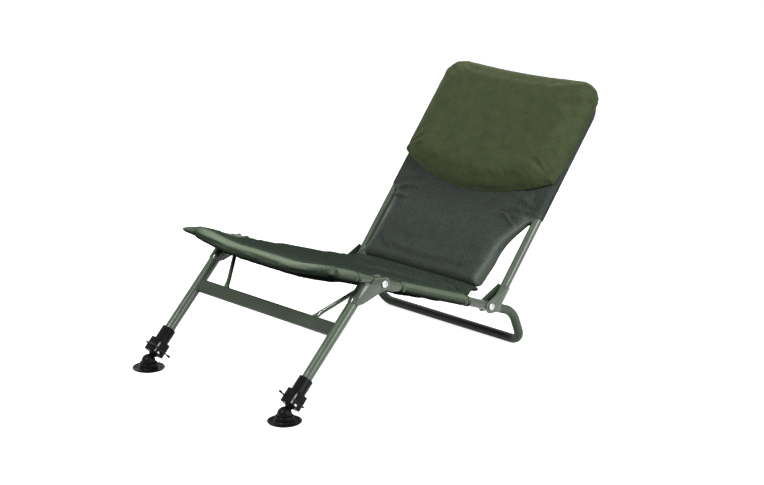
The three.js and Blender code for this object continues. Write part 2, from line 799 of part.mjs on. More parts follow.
function cornerTab(sign) {
  const edge = frameHalfWidth + hemRadius;
  const outline = [
    new THREE.Vector2(edge - cornerTabWidth, frontReach),
    new THREE.Vector2(edge, frontReach - frontBendRadius / 2),
    new THREE.Vector2(edge + gap, frontReach + cornerTabLength),
  ].map((p) => new THREE.Vector2(sign * p.x, -p.y));
  return upright(new THREE.Shape(outline), -cornerTabThickness / 2, cornerTabThickness / 2);
}

function seatHem() {
  const cornerStart = frontBowCorners(hemStart);
  const bore = sweep(new THREE.Shape(circle(tubeRadius + gap)), cornerStart, frontBendRadii);
  return cut(join(frontHem(), cornerTab(1), cornerTab(-1)), bore);
}

// A point of the backrest's y and z in the seat frame's y and z
function fromBack(y, z) {
  return new THREE.Vector2(
    y * Math.cos(backAngle) + z * Math.sin(backAngle),
    -y * Math.sin(backAngle) + z * Math.cos(backAngle),
  );
}

function creaseCloth() {
  const outline = [
    new THREE.Vector2(-seatPanelRear + gap, seatTopRear - gap),
    new THREE.Vector2(-seatPanelRear + gap, seatBottomRear + gap),
    new THREE.Vector2(-seatPanelRear / 2, seatBottomRear / 2),
    new THREE.Vector2(-creaseAhead, creaseRoot),
    fromBack(backOffset - padRearBottom, backPanelBottom / 2),
    fromBack(backOffset - padRearBottom, backPanelBottom - gap),
    fromBack(backOffset - padFrontBottom, backPanelBottom - gap),
    fromBack(backOffset - padFrontBottom - seatTopRear / 2, backPanelBottom / 2),
    new THREE.Vector2(-creaseAhead, creaseHeight),
    new THREE.Vector2(-seatPanelRear / 2, (seatTopRear + creaseHeight) / 2),
  ];
  const halfWidth = frameHalfWidth - creaseInset;
  return sideways(outline, -halfWidth, halfWidth);
}

for (const [side, sign] of sides) {
  const front = lengthwise(ringShape(hemRadius, tubeRadius + gap), pivotSpacing + frontSleeveStart,
    hemStart - gap);
  add(seat, `front_sleeve_${side}`, front, cloth, sign * frameHalfWidth);
  const rear = lengthwise(ringShape(sleeveRadius, tubeRadius + gap), rearSleeveStart, rearSleeveEnd);
  add(seat, `rear_sleeve_${side}`, rear, cloth, sign * frameHalfWidth);
}
add(seat, 'seat_panel', seatPanel(), cloth);
add(seat, 'seat_hem', seatHem(), cloth);
add(seat, 'crease_cloth', creaseCloth(), cloth);

// Cloth of the backrest

const backSide = frameHalfWidth - sleeveRadius - gap;

function backHalfWidth(height) {
  const out = smooth((height - backPanelBottom) / (waistEnd - backPanelBottom));
  return THREE.MathUtils.lerp(frameHalfWidth - waistInset, backSide, out);
}

function backPanel() {
  const panelTop = backHeight - sleeveRadius - gap;
  const inner = backBendRadius - tubeRadius - 2 * gap;
  return pad((across, along, side) => {
    const height = backPanelBottom + (panelTop - backPanelBottom) * along;
    const toTop = smooth((height - backPanelBottom) / (padEnd - backPanelBottom));
    const past = height - (backHeight - backBendRadius);
    const corner = past > 0 ? inner - Math.sqrt(Math.max(0, inner * inner - past * past)) : 0;
    const front = THREE.MathUtils.lerp(padFrontBottom, padFrontTop, toTop);
    const rear = THREE.MathUtils.lerp(padRearBottom, padRearTop, toTop);
    const crown = Math.sqrt(1 - Math.abs(across) ** 4);
    const middle = (front + rear) / 2;
    const half = THREE.MathUtils.lerp(backEdgeThickness / 2, (front - rear) / 2, crown);
    const forward = side ? middle + half : middle - half;
    return [across * (backHalfWidth(height) - corner), backOffset - forward, height];
  });
}

function headCushion() {
  const rest = sleeveRadius + gap;
  return pad((across, along, side) => {
    const bottomArc = cushionMiddleBottom + (cushionSideBottom - cushionMiddleBottom) * across * across;
    const height = bottomArc + (cushionTop - bottomArc) * along;
    const past = height - (cushionTop - cushionCorner);
    const inner = past > 0 ? cushionCorner - Math.sqrt(Math.max(0, cushionCorner ** 2 - past ** 2)) : 0;
    const crownAcross = Math.sqrt(1 - Math.abs(across) ** 4);
    const crownAlong = Math.sqrt(1 - Math.abs(2 * along - 1) ** 6);
    const thick = THREE.MathUtils.lerp(cushionEdge, cushionThickness, crownAcross * crownAlong);
    const forward = side ? rest + thick : rest;
    return [across * (frameHalfWidth + cushionWrap - inner), backOffset - forward, height];
  });
}

function cushionCover() {
  const quarter = Math.PI / 2;
  const halfWidth = frameHalfWidth - coverInset;
  const x = halfWidth - cushionCorner;
  const y = coverTop - cushionCorner;
  const outline = [
    new THREE.Vector2(-halfWidth, cushionSideBottom),
    new THREE.Vector2(halfWidth, cushionSideBottom),
    ...arc({ x, y }, cushionCorner, 0, quarter, bendSteps),
    ...arc({ x: -x, y }, cushionCorner, quarter, 2 * quarter, bendSteps),
  ];
  const behind = backOffset + sleeveRadius + gap;
  return lengthwise(new THREE.Shape(outline), -behind - coverThickness, -behind);
}

for (const [side, sign] of sides) {
  const sleeve = upright(ringShape(sleeveRadius, tubeRadius + gap), backSleeveStart, backSleeveEnd);
  add(back, `back_sleeve_${side}`, sleeve, cloth, sign * frameHalfWidth, backOffset);
}
add(back, 'back_panel', backPanel(), cloth);
add(back, 'head_cushion', headCushion(), fleece);
add(back, 'cushion_cover', cushionCover(), cloth);

// The origin is on the ground, in the middle of the chair's length

chair.updateMatrixWorld(true);
const box = new THREE.Box3().setFromObject(chair, true);
chair.position.y = -(box.min.y + box.max.y) / 2;
chair.updateMatrixWorld(true);

export default chair;
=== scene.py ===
# The looks of a low carp fishing chair: painted steel tube, black nylon lock housings and mud feet,
# and padded nylon cloth with a fleece head cushion. Metres, +X to the right as seen from the front,
# +Y to the rear, +Z up.

import math

import bmesh
import bpy
from mathutils import Matrix, Vector
from mathutils.bvhtree import BVHTree


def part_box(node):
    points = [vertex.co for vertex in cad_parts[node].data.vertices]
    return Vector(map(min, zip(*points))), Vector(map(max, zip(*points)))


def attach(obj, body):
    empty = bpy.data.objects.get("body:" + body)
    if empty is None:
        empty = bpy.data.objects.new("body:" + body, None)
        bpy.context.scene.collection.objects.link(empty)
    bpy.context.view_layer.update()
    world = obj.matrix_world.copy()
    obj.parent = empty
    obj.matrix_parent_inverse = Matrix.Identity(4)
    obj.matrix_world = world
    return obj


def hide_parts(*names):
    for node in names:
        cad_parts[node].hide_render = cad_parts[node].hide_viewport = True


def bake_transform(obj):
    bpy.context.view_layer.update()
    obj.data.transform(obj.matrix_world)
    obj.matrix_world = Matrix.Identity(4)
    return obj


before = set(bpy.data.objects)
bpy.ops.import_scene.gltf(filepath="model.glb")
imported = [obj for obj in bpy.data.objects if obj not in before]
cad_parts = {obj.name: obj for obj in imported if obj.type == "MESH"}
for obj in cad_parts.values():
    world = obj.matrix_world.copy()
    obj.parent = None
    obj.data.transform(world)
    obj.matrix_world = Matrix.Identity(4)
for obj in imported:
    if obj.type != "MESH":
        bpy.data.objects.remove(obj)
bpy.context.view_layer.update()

# Places that the frame gives


def middle(node):
    low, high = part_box(node)
    return (low + high) / 2


def level_point(node):
    point = middle(node)
    return Vector((0, point.y, point.z))


rear_pivot = level_point("rear_pivot_bolt_right")
front_pivot = level_point("front_pivot_bolt_right")
ankle = level_point("ankle_ball_right")
half_width = middle("ankle_ball_right").x
pivot_spacing = (front_pivot - rear_pivot).length
seat_slope = math.atan2(front_pivot.z - rear_pivot.z, rear_pivot.y - front_pivot.y)
recline = math.radians(38.37)
leg_lean = math.radians(44.68)
fold_angle = leg_lean - seat_slope
back_angle = recline - seat_slope

# Tube frame
tube_radius = 0.011
tube_wall = 0.0015
leg_radius = 0.0125
front_overhang = 0.1495
front_bend = 0.035
front_dip = 0.016
front_dip_inset = 0.133
front_dip_bend = 0.4
dip_bend_share = 0.18
front_splice = 0.09
rear_splice = 0.042
rail_tail = 0.0942
drop_bend = 0.062
ground_bend = 0.034
drop_lean = math.radians(22.2)
leg_offset = 0.0347
leg_foot = 0.0553
crossbar_height = 0.032
crossbar_thickness = 0.014
crossbar_corner = 0.005
crossbar_above_ankle = 0.2005
strut_radius = 0.005
strut_inset = 0.09
strut_foot_set_back = 0.004
strut_top_set_back = 0.0195
strut_top_below_pivot = 0.024
strut_flat_length = 0.016
foot_spread_share = 0.8
foot_flat_share = 0.45
back_offset = 0.0254
back_height = 0.588
back_bend = 0.06
back_splice = 0.5

# Sheet brackets and bolts
sheet = 0.002
saddle_sheet = 0.0012
saddle_behind = 0.048
saddle_ahead = 0.03
saddle_below = 0.013
ear_radius = 0.017
leg_bracket_reach = 0.081
bracket_cut = 0.012
ear_hollow = 0.046
ear_neck = 0.031
rear_bracket_top = 0.066
rear_ear_low = 0.007
bolt_hole = 0.0043
bolt_radius = 0.004
bolt_head = 0.0085
bolt_head_height = 0.005
bolt_rim = 0.002
socket_radius = 0.003
socket_depth = 0.0022
nut_height = 0.0065
bolt_tip = 0.0015
sheet_edge = 0.0004

# Lock housings, inner legs and clips
collar_radius = 0.017
collar_top = 0.09
housing_top = 0.055
housing_bottom = 0.0205
housing_half = 0.0175
housing_front = 0.019
housing_rear = 0.02
housing_corner = 0.0045
housing_chamfer = 0.0065
housing_edge = 0.0008
inner_radius = 0.0095
inner_top = 0.3
corner_window = 0.009
side_window = 0.012
side_window_top = 0.03
window_floor = 0.0035
clip_radius = 0.002
clip_height = 0.035
clip_half = 0.0155
clip_front = 0.015
clip_bend = 0.005
clip_rear = 0.026
clip_tail = 0.034
clip_sleeve = 0.0007
clip_sleeve_length = 0.008
lock_plate = 0.0012
lock_plate_depth = 0.0035

# Mud feet
foot_radius = 0.038
foot_rim = 0.004
foot_plate = 0.0026
foot_rim_width = 0.003
ball_radius = 0.0165
cup_radius = 0.0215
cup_slot = 0.0018
cup_top = 0.016
cup_shoulder = 0.0035
stem_foot_radius = 0.008
stem_radius = 0.0115
peg_hole = 0.0035
peg_circle = 0.029

# Cloth
hem_radius = 0.0138
hem_ripple = 0.021
hem_ripple_depth = 0.0005
second_ripple_share = 1.7
sleeve_radius = 0.013
front_sleeve_start = 0.07
rear_sleeve_start = 0.072
rear_sleeve_end = 0.309
tab_length = 0.019
tab_inset = 0.01
tab_width = 0.034
seat_rim = 0.006
seat_rim_level = 0.002
seat_top_middle = 0.008
seat_top_rear = 0.016
seat_bottom_middle = -0.02
seat_bottom_rear = -0.01
sleeve_flare = 0.012
roll_share = 0.05
core_share = 0.93
seat_turn = 0.12
pivot_cut = 0.013
crease_height = 0.0385
crease_ahead = 0.012
crease_inset = 0.043
web_inset = 0.016
seat_tuck = 0.024
back_bottom = 0.034
back_turn = 0.12
waist_inset = 0.048
waist_end = 0.25
waist_bow_share = 1.4
pad_front_bottom = 0.052
pad_front_turn = 0.04
pad_front_top = 0.012
pad_rear_bottom = 0.014
pad_rear_turn = 0.004
pad_rear_top = -0.006
pad_end = 0.262
back_edge = 0.009
back_edge_square = 4
back_nose = 0.018
back_edge_share = 0.95
hem_show = 0.0006
hem_width = 0.008
hood_sag = 0.003
hood_sag_share = 0.74
hood_radius = 0.0126
under_hood = 0.0118
tab_rise = -0.003
tab_tip = 0.005
tab_tip_share = 0.75
back_sleeve_start = 0.248
back_sleeve_end = 0.525
cushion_wrap = 0.0102
cushion_top = 0.6155
cushion_top_dip = 0.006
cushion_middle_bottom = 0.274
cushion_side_bottom = 0.338
cushion_thickness = 0.04
cushion_edge = 0.012
cushion_lap = -0.001
cushion_lap_share = 0.9
cushion_lap_rise_share = 0.25
cushion_corner = 0.058
cover_bottom = 0.338
gap = 0.0003
# The cloth's rolled edges carry a painted highlight: a paler colour laid where they face the lamps
highlight_attribute = "painted_highlight"
side_highlight_share = 0.55
end_highlight_share = 0.35
highlight_falloff = 1.6
highlight_end = 0.07
hem_highlight_way = Vector((0, -0.4, 1))
tab_highlight_way = Vector((0, -0.7, 1))
side_highlight_way = (0, 0.8)
edge_highlight_way = (-1, 0.2)
fold_facing_share = 0.1
fold_fade_share = 0.7
furrow_share = 0.8
furrow_step_share = 1.3

# Padding: size of the even mesh, how far the cloth blows out, its spare length and its pressure
cloth_cell = 0.005
hood_cell = 0.004
cloth_travel = 0.006
cushion_travel = 0.005
seat_spare_share = 0.02
back_spare_share = 0.014
cushion_spare_share = 0.008
cloth_pressure = 4.0

# Stitching
stitch_pitch = 0.0042
stitch_share = 0.36
thread_radius = 0.0006
seam_inset = 0.006
seam_from_front = 0.026
seam_pair = 0.006
high_above = 0.1
stitch_sides = 6
stitch_rings = 5

# Finishes: the width of one blotch of each pattern, and the depth of each relief
peel_grain = 0.0016
peel_depth = 0.00006
drift_grain = 0.05
zinc_grain = 0.0009
wire_grain = 0.0008
drag_depth = 0.00003
drag_stretch_shares = (1, 1, 6)
pebble_grain = 0.0009
pebble_depth = 0.00008
scuff_grain = 0.012
weave_pitch = 0.0022
weave_depth = 0.0003
cloud_grain = 0.035
lint_grain = 0.0032
twist_grain = 0.0008
twist_depth = 0.0002
pile_grain = 0.0016
pile_depth = 0.0012
nap_grain = 0.028
even_spread_shares = (0.3, 0.7)
fleece_spread_shares = (0.34, 0.66)

# Camera and light
view_turn = math.radians(46.5)
view_height = math.radians(15.4746)
view_distance = 4.5638
view_right = 0.1383
view_up = 0.2798
view_from_ankle = 0.33
lens_pixels = 1932.617
photo_width = 764
sensor = 36
floor_reach = 8
floor_glow = 0.86
world_glow = 0.08

# Lamps: name, turn from the view, height, distance, size and watts
lamps = (
    ("key", math.radians(-45), math.radians(44), 3.2, 0.6, 62),
    ("fill", math.radians(50), math.radians(28), 3.4, 2.0, 104),
    ("top", math.radians(180), math.radians(50), 3.0, 1.6, 26),
)

# Counts, and the angle from which an edge stays sharp
tube_sides = 40
rod_sides = 24
wire_sides = 20
hole_sides = 32
bolt_sides = 36
disc_sides = 64
bend_steps = 12
arc_steps = 20
corner_steps = 6
strut_cuts = 16
dome_steps = 10
bowl_steps = 10
shoulder_steps = 5
pad_grid = (96, 150)
cushion_grid = (80, 80)
hood_grid = (72, 72)
tab_grid = (12, 12)
smooth_angle = math.radians(32)
simulated_frames = 20

# Folds in the cloth: start and end as (across, along), width, height
seat_folds = (
    ((0.236, 0.07), (0.1, 0.026), 0.007, 0.007),
    ((0.236, 0.078), (0.0, 0.1), 0.009, 0.007),
    ((0.222, 0.12), (-0.02, 0.21), 0.011, 0.006),
    ((-0.236, 0.08), (-0.1, 0.05), 0.008, 0.006),
    ((-0.23, 0.1), (-0.02, 0.16), 0.01, 0.006),
    ((0.21, 0.44), (0.1, 0.5), 0.006, 0.002),
)
hem_folds = (
    ((-0.25, 0.002), (0.02, -0.02), 0.004, 0.0012),
    ((-0.12, -0.006), (0.2, -0.014), 0.0045, 0.001),
    ((0.06, -0.022), (0.24, -0.004), 0.004, 0.0013),
    ((0.17, -0.006), (0.25, 0.006), 0.004, 0.0009),
)
back_folds = (
    ((0.222, 0.238), (0.12, 0.226), 0.006, 0.0055),
    ((0.21, 0.205), (0.15, 0.236), 0.005, 0.0045),
    ((0.245, 0.256), (0.165, 0.256), 0.005, 0.003),
    ((0.236, 0.27), (0.12, 0.3), 0.007, 0.0025),
    ((-0.235, 0.235), (-0.15, 0.253), 0.006, 0.005),
    ((-0.23, 0.218), (-0.16, 0.213), 0.005, 0.0045),
    ((-0.24, 0.262), (-0.13, 0.285), 0.006, 0.0025),
)

seat_place = Matrix.Translation(rear_pivot) @ Matrix.Rotation(-seat_slope, 4, "X")
back_place = Matrix.Translation(rear_pivot) @ Matrix.Rotation(-recline, 4, "X")
leg_place = Matrix.Translation(front_pivot) @ Matrix.Rotation(-leg_lean, 4, "X")
leg_reach = (front_pivot.z - ankle.z + leg_offset * math.sin(leg_lean)) / math.cos(leg_lean)
front_reach = pivot_spacing + front_overhang
leg_ear_inner = leg_radius + gap
leg_ear_outer = leg_ear_inner + sheet
rear_ear_inner = tube_radius + gap
rear_ear_outer = rear_ear_inner + sheet
sides = (("right", 1), ("left", -1))
quarter = math.pi / 2
upright = Vector((0, 0, 1))
forward_axis = Vector((0, -1, 0))

# Sockets of the colour mix node, and the bands that a wave node draws in a length of tau
mix_low = 6
mix_high = 7
mix_result = 2
wave_bands = 20


# Colours and materials


def linear(code):
    shades = [int(code[i:i + 2], 16) / 255 for i in (1, 3, 5)]
    bent = [s / 12.92 if s <= 0.04045 else ((s + 0.055) / 1.055) ** 2.4 for s in shades]
    return (*bent, 1)


def add_node(tree, kind, values=None, links=None, **settings):
    made = tree.nodes.new(kind)
    for name, value in settings.items():
        setattr(made, name, value)
    for name, value in (values or {}).items():
        made.inputs[name].default_value = value
    for name, source in (links or {}).items():
        tree.links.new(source, made.inputs[name])
    return made


def start_material(name, **values):
    material = bpy.data.materials.new(name)
    material.use_nodes = True
    tree = material.node_tree
    shader = tree.nodes["Principled BSDF"]
    for socket, value in values.items():
        shader.inputs[socket.replace("_", " ")].default_value = value
    place = add_node(tree, "ShaderNodeTexCoord").outputs["Object"]
    return material, tree, shader, place


def dress(tree, shader, tone, colours, gloss, roughness, relief, depth, strength=1.0,
          spread=even_spread_shares):
    # One pattern tints the colour, one varies the roughness, and one stands up from the surface
    ramp = add_node(tree, "ShaderNodeValToRGB", links={"Fac": tone})
    for stop, at, code in zip(ramp.color_ramp.elements, spread, colours):
        stop.position = at
        stop.color = linear(code)
    tree.links.new(ramp.outputs["Color"], shader.inputs["Base Color"])
    if gloss:
        level = add_node(tree, "ShaderNodeMapRange", {"To Min": roughness[0], "To Max": roughness[1]},
                         {"Value": gloss})
        tree.links.new(level.outputs["Result"], shader.inputs["Roughness"])
    bump = add_node(tree, "ShaderNodeBump", {"Distance": depth, "Strength": strength}, {"Height": relief})
    tree.links.new(bump.outputs["Normal"], shader.inputs["Normal"])
    return ramp.outputs["Color"]


def painted_steel(name, colours, roughness, coat):
    # Sprayed satin enamel on drawn steel tube: a broad soft gloss over a faint orange peel
    material, tree, shader, place = start_material(name, Specular_IOR_Level=0.25, Coat_Weight=coat,
                                                   Coat_Roughness=0.1)
    peel = add_node(tree, "ShaderNodeTexNoise", {"Scale": 1 / peel_grain, "Detail": 2},
                    {"Vector": place}).outputs["Fac"]
    drift = add_node(tree, "ShaderNodeTexNoise", {"Scale": 1 / drift_grain, "Detail": 4},
                     {"Vector": place}).outputs["Fac"]
    dress(tree, shader, drift, colours, peel, (roughness - 0.05, roughness + 0.06), peel, peel_depth)
    return material


def enamel_with_painted_shadow(name, colours):
    # The same satin enamel, with painted shadow: the run that lies on the ground is gone over in near black,
    # as the shade under the seat
    material = painted_steel(name, colours, 0.5, 0.0)
    tree = material.node_tree
    shader = tree.nodes["Principled BSDF"]
    green = shader.inputs["Base Color"].links[0].from_socket
    place = add_node(tree, "ShaderNodeTexCoord").outputs["Object"]
    across = add_node(tree, "ShaderNodeSeparateXYZ", links={"Vector": place}).outputs["X"]
    reach = add_node(tree, "ShaderNodeMath", links={0: across}, operation="ABSOLUTE").outputs[0]
    share = add_node(tree, "ShaderNodeMapRange", {"From Min": half_width - 2 * ground_bend,
                                                  "From Max": half_width - ground_bend / 3},
                     {"Value": reach}, interpolation_type="SMOOTHSTEP").outputs["Result"]
    shade = add_node(tree, "ShaderNodeMix", {mix_low: linear("#0d0f0d")},
                     {"Factor": share, mix_high: green}, data_type="RGBA")
    tree.links.new(shade.outputs[mix_result], shader.inputs["Base Color"])
    return material


def dragged_metal(name, grain, colours, roughness):
    # Bare metal with the fine drag lines of drawing and tumbling, which lie across Z
    material, tree, shader, place = start_material(name, Metallic=1.0)
    along = add_node(tree, "ShaderNodeMapping", {"Scale": drag_stretch_shares},
                     {"Vector": place}).outputs[0]
    drag = add_node(tree, "ShaderNodeTexNoise", {"Scale": 1 / grain, "Detail": 2},
                    {"Vector": along}).outputs["Fac"]
    dress(tree, shader, drag, colours, drag, roughness, drag, drag_depth)
    return material


def bright_zinc():
    # Zinc plated steel: bright, with soft highlights
    return dragged_metal("bright_zinc_plate", zinc_grain, ("#9b9e9e", "#c3c6c5"), (0.2, 0.36))


def blacked_wire():
    # Spring steel wire with an oil black finish: dark, and bright only where it faces a lamp
    return dragged_metal("blacked_spring_wire", wire_grain, ("#1d1f20", "#34373a"), (0.25, 0.4))


def moulded_nylon():
    # Glass filled nylon from a spark eroded mould: black with a low sheen and a fine pebble grain
    material, tree, shader, place = start_material("moulded_black_nylon", Specular_IOR_Level=0.08)
    pebble = add_node(tree, "ShaderNodeTexVoronoi", {"Scale": 1 / pebble_grain}, {"Vector": place})
    scuff = add_node(tree, "ShaderNodeTexNoise", {"Scale": 1 / scuff_grain, "Detail": 5},
                     {"Vector": place}).outputs["Fac"]
    dress(tree, shader, scuff, ("#07080a", "#0f1012"), scuff, (0.3, 0.44), pebble.outputs["Distance"],
          pebble_depth, 0.6)
    return material


def woven(tree, place, lean):
    # Plain weave in the plane that leans back by that angle. The threads of this cloth are 0.4 mm
    # apart, and are drawn coarser so that they show
    tilted = add_node(tree, "ShaderNodeMapping", {"Rotation": (lean, 0, 0)}, {"Vector": place},
                      vector_type="POINT").outputs[0]
    threads = [add_node(tree, "ShaderNodeTexWave", {"Scale": math.tau / wave_bands / weave_pitch,
                                                    "Distortion": 0.6, "Detail": 1, "Detail Scale": 3},
                        {"Vector": tilted}, bands_direction=axis).outputs["Fac"] for axis in "XY"]
    return add_node(tree, "ShaderNodeMath", links={0: threads[0], 1: threads[1]},
                    operation="MULTIPLY").outputs[0]


def nylon_cloth(name, lean, gloss, colours, painted_highlight):
    # Coated nylon oxford cloth: a dull sheen, a fine weave, clouds of handling, and a painted highlight,
    # a paler colour where the rolled edges face the lamps, which the mesh gives as its attribute
    material, tree, shader, place = start_material(name, Sheen_Weight=gloss, Sheen_Roughness=0.4,
                                                   Specular_IOR_Level=gloss)
    clouds = add_node(tree, "ShaderNodeTexNoise", {"Scale": 1 / cloud_grain, "Detail": 5},
                      {"Vector": place}).outputs["Fac"]
    lint = add_node(tree, "ShaderNodeTexNoise", {"Scale": 1 / lint_grain, "Detail": 2},
                    {"Vector": place}).outputs["Fac"]
    mixed = add_node(tree, "ShaderNodeMath", {1: 0.4}, {0: woven(tree, place, lean)},
                     operation="MULTIPLY").outputs[0]
    for pattern, weight in ((clouds, 0.2), (lint, 0.65)):
        mixed = add_node(tree, "ShaderNodeMath", {1: weight}, {0: pattern, 2: mixed},
                         operation="MULTIPLY_ADD").outputs[0]
    plain = dress(tree, shader, mixed, colours, clouds, (0.5, 0.66), mixed, weave_depth, 0.55)
    highlighted = add_node(tree, "ShaderNodeAttribute", attribute_name=highlight_attribute).outputs["Fac"]
    patchy = add_node(tree, "ShaderNodeMapRange", {"To Min": 0.35, "To Max": 1.3},
                      {"Value": mixed}).outputs["Result"]
    showing = add_node(tree, "ShaderNodeMath", links={0: highlighted, 1: patchy}, operation="MULTIPLY",
                       use_clamp=True).outputs[0]
    shade = add_node(tree, "ShaderNodeMix", {mix_high: linear(painted_highlight)},
                     {"Factor": showing, mix_low: plain}, data_type="RGBA")
    tree.links.new(shade.outputs[mix_result], shader.inputs["Base Color"])
    return material


def sewing_thread():
    # Twisted polyester thread, a shade lighter than the cloth
    material, tree, shader, place = start_material("polyester_thread", Roughness=0.6,
                                                   Specular_IOR_Level=0.1)
    twist = add_node(tree, "ShaderNodeTexNoise", {"Scale": 1 / twist_grain, "Detail": 2},
                     {"Vector": place}).outputs["Fac"]
    dress(tree, shader, twist, ("#3b423b", "#586057"), None, None, twist, twist_depth)
    return material


def fleece_pile():
    # Brushed polyester fleece: a short soft nap that catches light at its edges and lies in patches
    material, tree, shader, place = start_material("brushed_fleece", Roughness=0.95, Sheen_Weight=0.7,
                                                   Sheen_Roughness=0.5, Sheen_Tint=linear("#6c7558"),
                                                   Specular_IOR_Level=0.15)
    pile = add_node(tree, "ShaderNodeTexNoise", {"Scale": 1 / pile_grain, "Detail": 4},
                    {"Vector": place}).outputs["Fac"]
    nap = add_node(tree, "ShaderNodeTexNoise", {"Scale": 1 / nap_grain, "Detail": 6},
                   {"Vector": place}).outputs["Fac"]
    tufts = add_node(tree, "ShaderNodeMath", {1: 0.7}, {0: pile}, operation="MULTIPLY").outputs[0]
    patches = add_node(tree, "ShaderNodeMath", {1: 0.3}, {0: nap, 2: tufts},
                       operation="MULTIPLY_ADD").outputs[0]
    dress(tree, shader, patches, ("#2f3823", "#4e573a"), None, None, pile, pile_depth, 0.8,
          fleece_spread_shares)
    return material


green_enamel = ("#3e4b3b", "#4b5947")
paint = painted_steel("sprayed_green_enamel", green_enamel, 0.26, 0.5)
bar_paint = painted_steel("sprayed_olive_enamel", ("#303a2e", "#3a4437"), 0.5, 0.0)
# Painted shadow: the ground run of this enamel is darkened to near black
shadowed_run_enamel = enamel_with_painted_shadow("enamel_with_shadow_run", green_enamel)
zinc = bright_zinc()
wire_black = blacked_wire()
thread = sewing_thread()
black_nylon = moulded_nylon()
# The last colour of each cloth is its painted highlight
seat_cloth = nylon_cloth("seat_nylon_oxford", seat_slope, 0.0, ("#242b25", "#414b42"), "#85937c")
back_cloth = nylon_cloth("back_nylon_oxford", recline - quarter, 0.02, ("#282d2a", "#4b514c"), "#626a62")
fleece = fleece_pile()


# Pieces


def settle(bm, name, material, place=Matrix.Identity(4), recalculated=True):
    bm.transform(place)
    if recalculated:
        bmesh.ops.recalc_face_normals(bm, faces=bm.faces)
    mesh = bpy.data.meshes.new(name)
    bm.to_mesh(mesh)
    bm.free()
    mesh.shade_smooth()
    mesh.set_sharp_from_angle(angle=smooth_angle)
    mesh.materials.append(material)
    piece = bpy.data.objects.new(name, mesh)
    bpy.context.scene.collection.objects.link(piece)
    return piece


def carried(piece, body, slot, *nodes):
    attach(piece, body)
    if nodes:
        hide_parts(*nodes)


def only(kind, items):
    return [item for item in items if isinstance(item, kind)]


def pull(bm, edges, move):
    made = bmesh.ops.extrude_edge_only(bm, edges=edges)["geom"]
    bmesh.ops.translate(bm, verts=only(bmesh.types.BMVert, made), vec=move)
    return only(bmesh.types.BMEdge, made)


def facing(direction):
    return direction.to_track_quat("Z", "Y").to_matrix().to_4x4()


def tube(corners, bends, radius, sides=tube_sides):
    # A ring pulled along straight runs and spun round each bend
    bm = bmesh.new()
    heading = (corners[1] - corners[0]).normalized()
    bmesh.ops.create_circle(bm, segments=sides, radius=radius,
                            matrix=Matrix.Translation(corners[0]) @ facing(heading))
    edges = bm.edges[:]
    here = corners[0]
    for i, bend in enumerate(bends):
        corner = corners[i + 1]
        before = (corner - here).normalized()
        after = (corners[i + 2] - corner).normalized()
        turn = before.angle(after)
        start = corner - before * bend * math.tan(turn / 2)
        edges = pull(bm, edges, start - here)
        inward = (after - before * after.dot(before)).normalized()
        ring = list({vert for edge in edges for vert in edge.verts})
        spun = bmesh.ops.spin(bm, geom=ring + edges, cent=start + inward * bend, axis=before.cross(after),
                              dvec=(0, 0, 0), angle=turn, steps=bend_steps, use_merge=False,
                              use_normal_flip=False, use_duplicate=False)
        edges = only(bmesh.types.BMEdge, spun["geom_last"])
        here = corner + after * bend * math.tan(turn / 2)
    pull(bm, edges, corners[-1] - here)
    return bm


def hollow(bm, wall):
    bmesh.ops.recalc_face_normals(bm, faces=bm.faces)
    bmesh.ops.solidify(bm, geom=bm.faces[:], thickness=wall)
    return bm


def capped(bm, edge):
    rims = [e for e in bm.edges if e.is_boundary]
    bmesh.ops.holes_fill(bm, edges=rims)
    bmesh.ops.bevel(bm, geom=rims, offset=edge, affect="EDGES", segments=3, profile=0.5, material=-1)
    return bm


def mirrored(points):
    return [Vector((-p.x, p.y, p.z)) for p in points]


def turned(profile, steps=tube_sides):
    # A profile of radii and heights spun round Z
    bm = bmesh.new()
    verts = [bm.verts.new((radius, 0, height)) for radius, height in profile]
    for a, b in zip(verts, verts[1:]):
        bm.edges.new((a, b))
    bmesh.ops.spin(bm, geom=bm.verts[:] + bm.edges[:], cent=(0, 0, 0), axis=(0, 0, 1), dvec=(0, 0, 0),
                   angle=math.tau, steps=steps, use_merge=True, use_normal_flip=False,
                   use_duplicate=False)
    bmesh.ops.remove_doubles(bm, verts=bm.verts[:], dist=gap / 10)
    return bm


def arc(across, up, radius, start, end, steps=arc_steps):
    return [(across + radius * math.cos(start + (end - start) * i / steps),
             up + radius * math.sin(start + (end - start) * i / steps)) for i in range(steps + 1)]


def plate(points, thickness, place=Matrix.Identity(4)):
    # An outline in x and y, pulled up along z
    bm = bmesh.new()
    bm.faces.new([bm.verts.new((x, y, 0)) for x, y in points])
    made = bmesh.ops.extrude_face_region(bm, geom=bm.faces[:])["geom"]
    bmesh.ops.translate(bm, verts=only(bmesh.types.BMVert, made), vec=(0, 0, thickness))
    bm.transform(place)
    bmesh.ops.recalc_face_normals(bm, faces=bm.faces)
    return bm


def across_place(left):
    # Turns a plate drawn in y and z so that its thickness lies along x
    return Matrix.Translation((left, 0, 0)) @ Matrix(((0, 0, 1, 0), (1, 0, 0, 0), (0, 1, 0, 0),
                                                       (0, 0, 0, 1)))


def oblong(left, right, low, high):
    return [(left, low), (right, low), (right, high), (left, high)]


def rounded(left, right, low, high, corner):
    centres = ((right - corner, low + corner), (right - corner, high - corner),
               (left + corner, high - corner), (left + corner, low + corner))
    return [point for i, (x, y) in enumerate(centres)
            for point in arc(x, y, corner, (i - 1) * quarter, i * quarter, corner_steps)]


def as_object(bm, name):
    mesh = bpy.data.meshes.new(name)
    bm.to_mesh(mesh)
    bm.free()
    made = bpy.data.objects.new(name, mesh)
    bpy.context.scene.collection.objects.link(made)
    return made


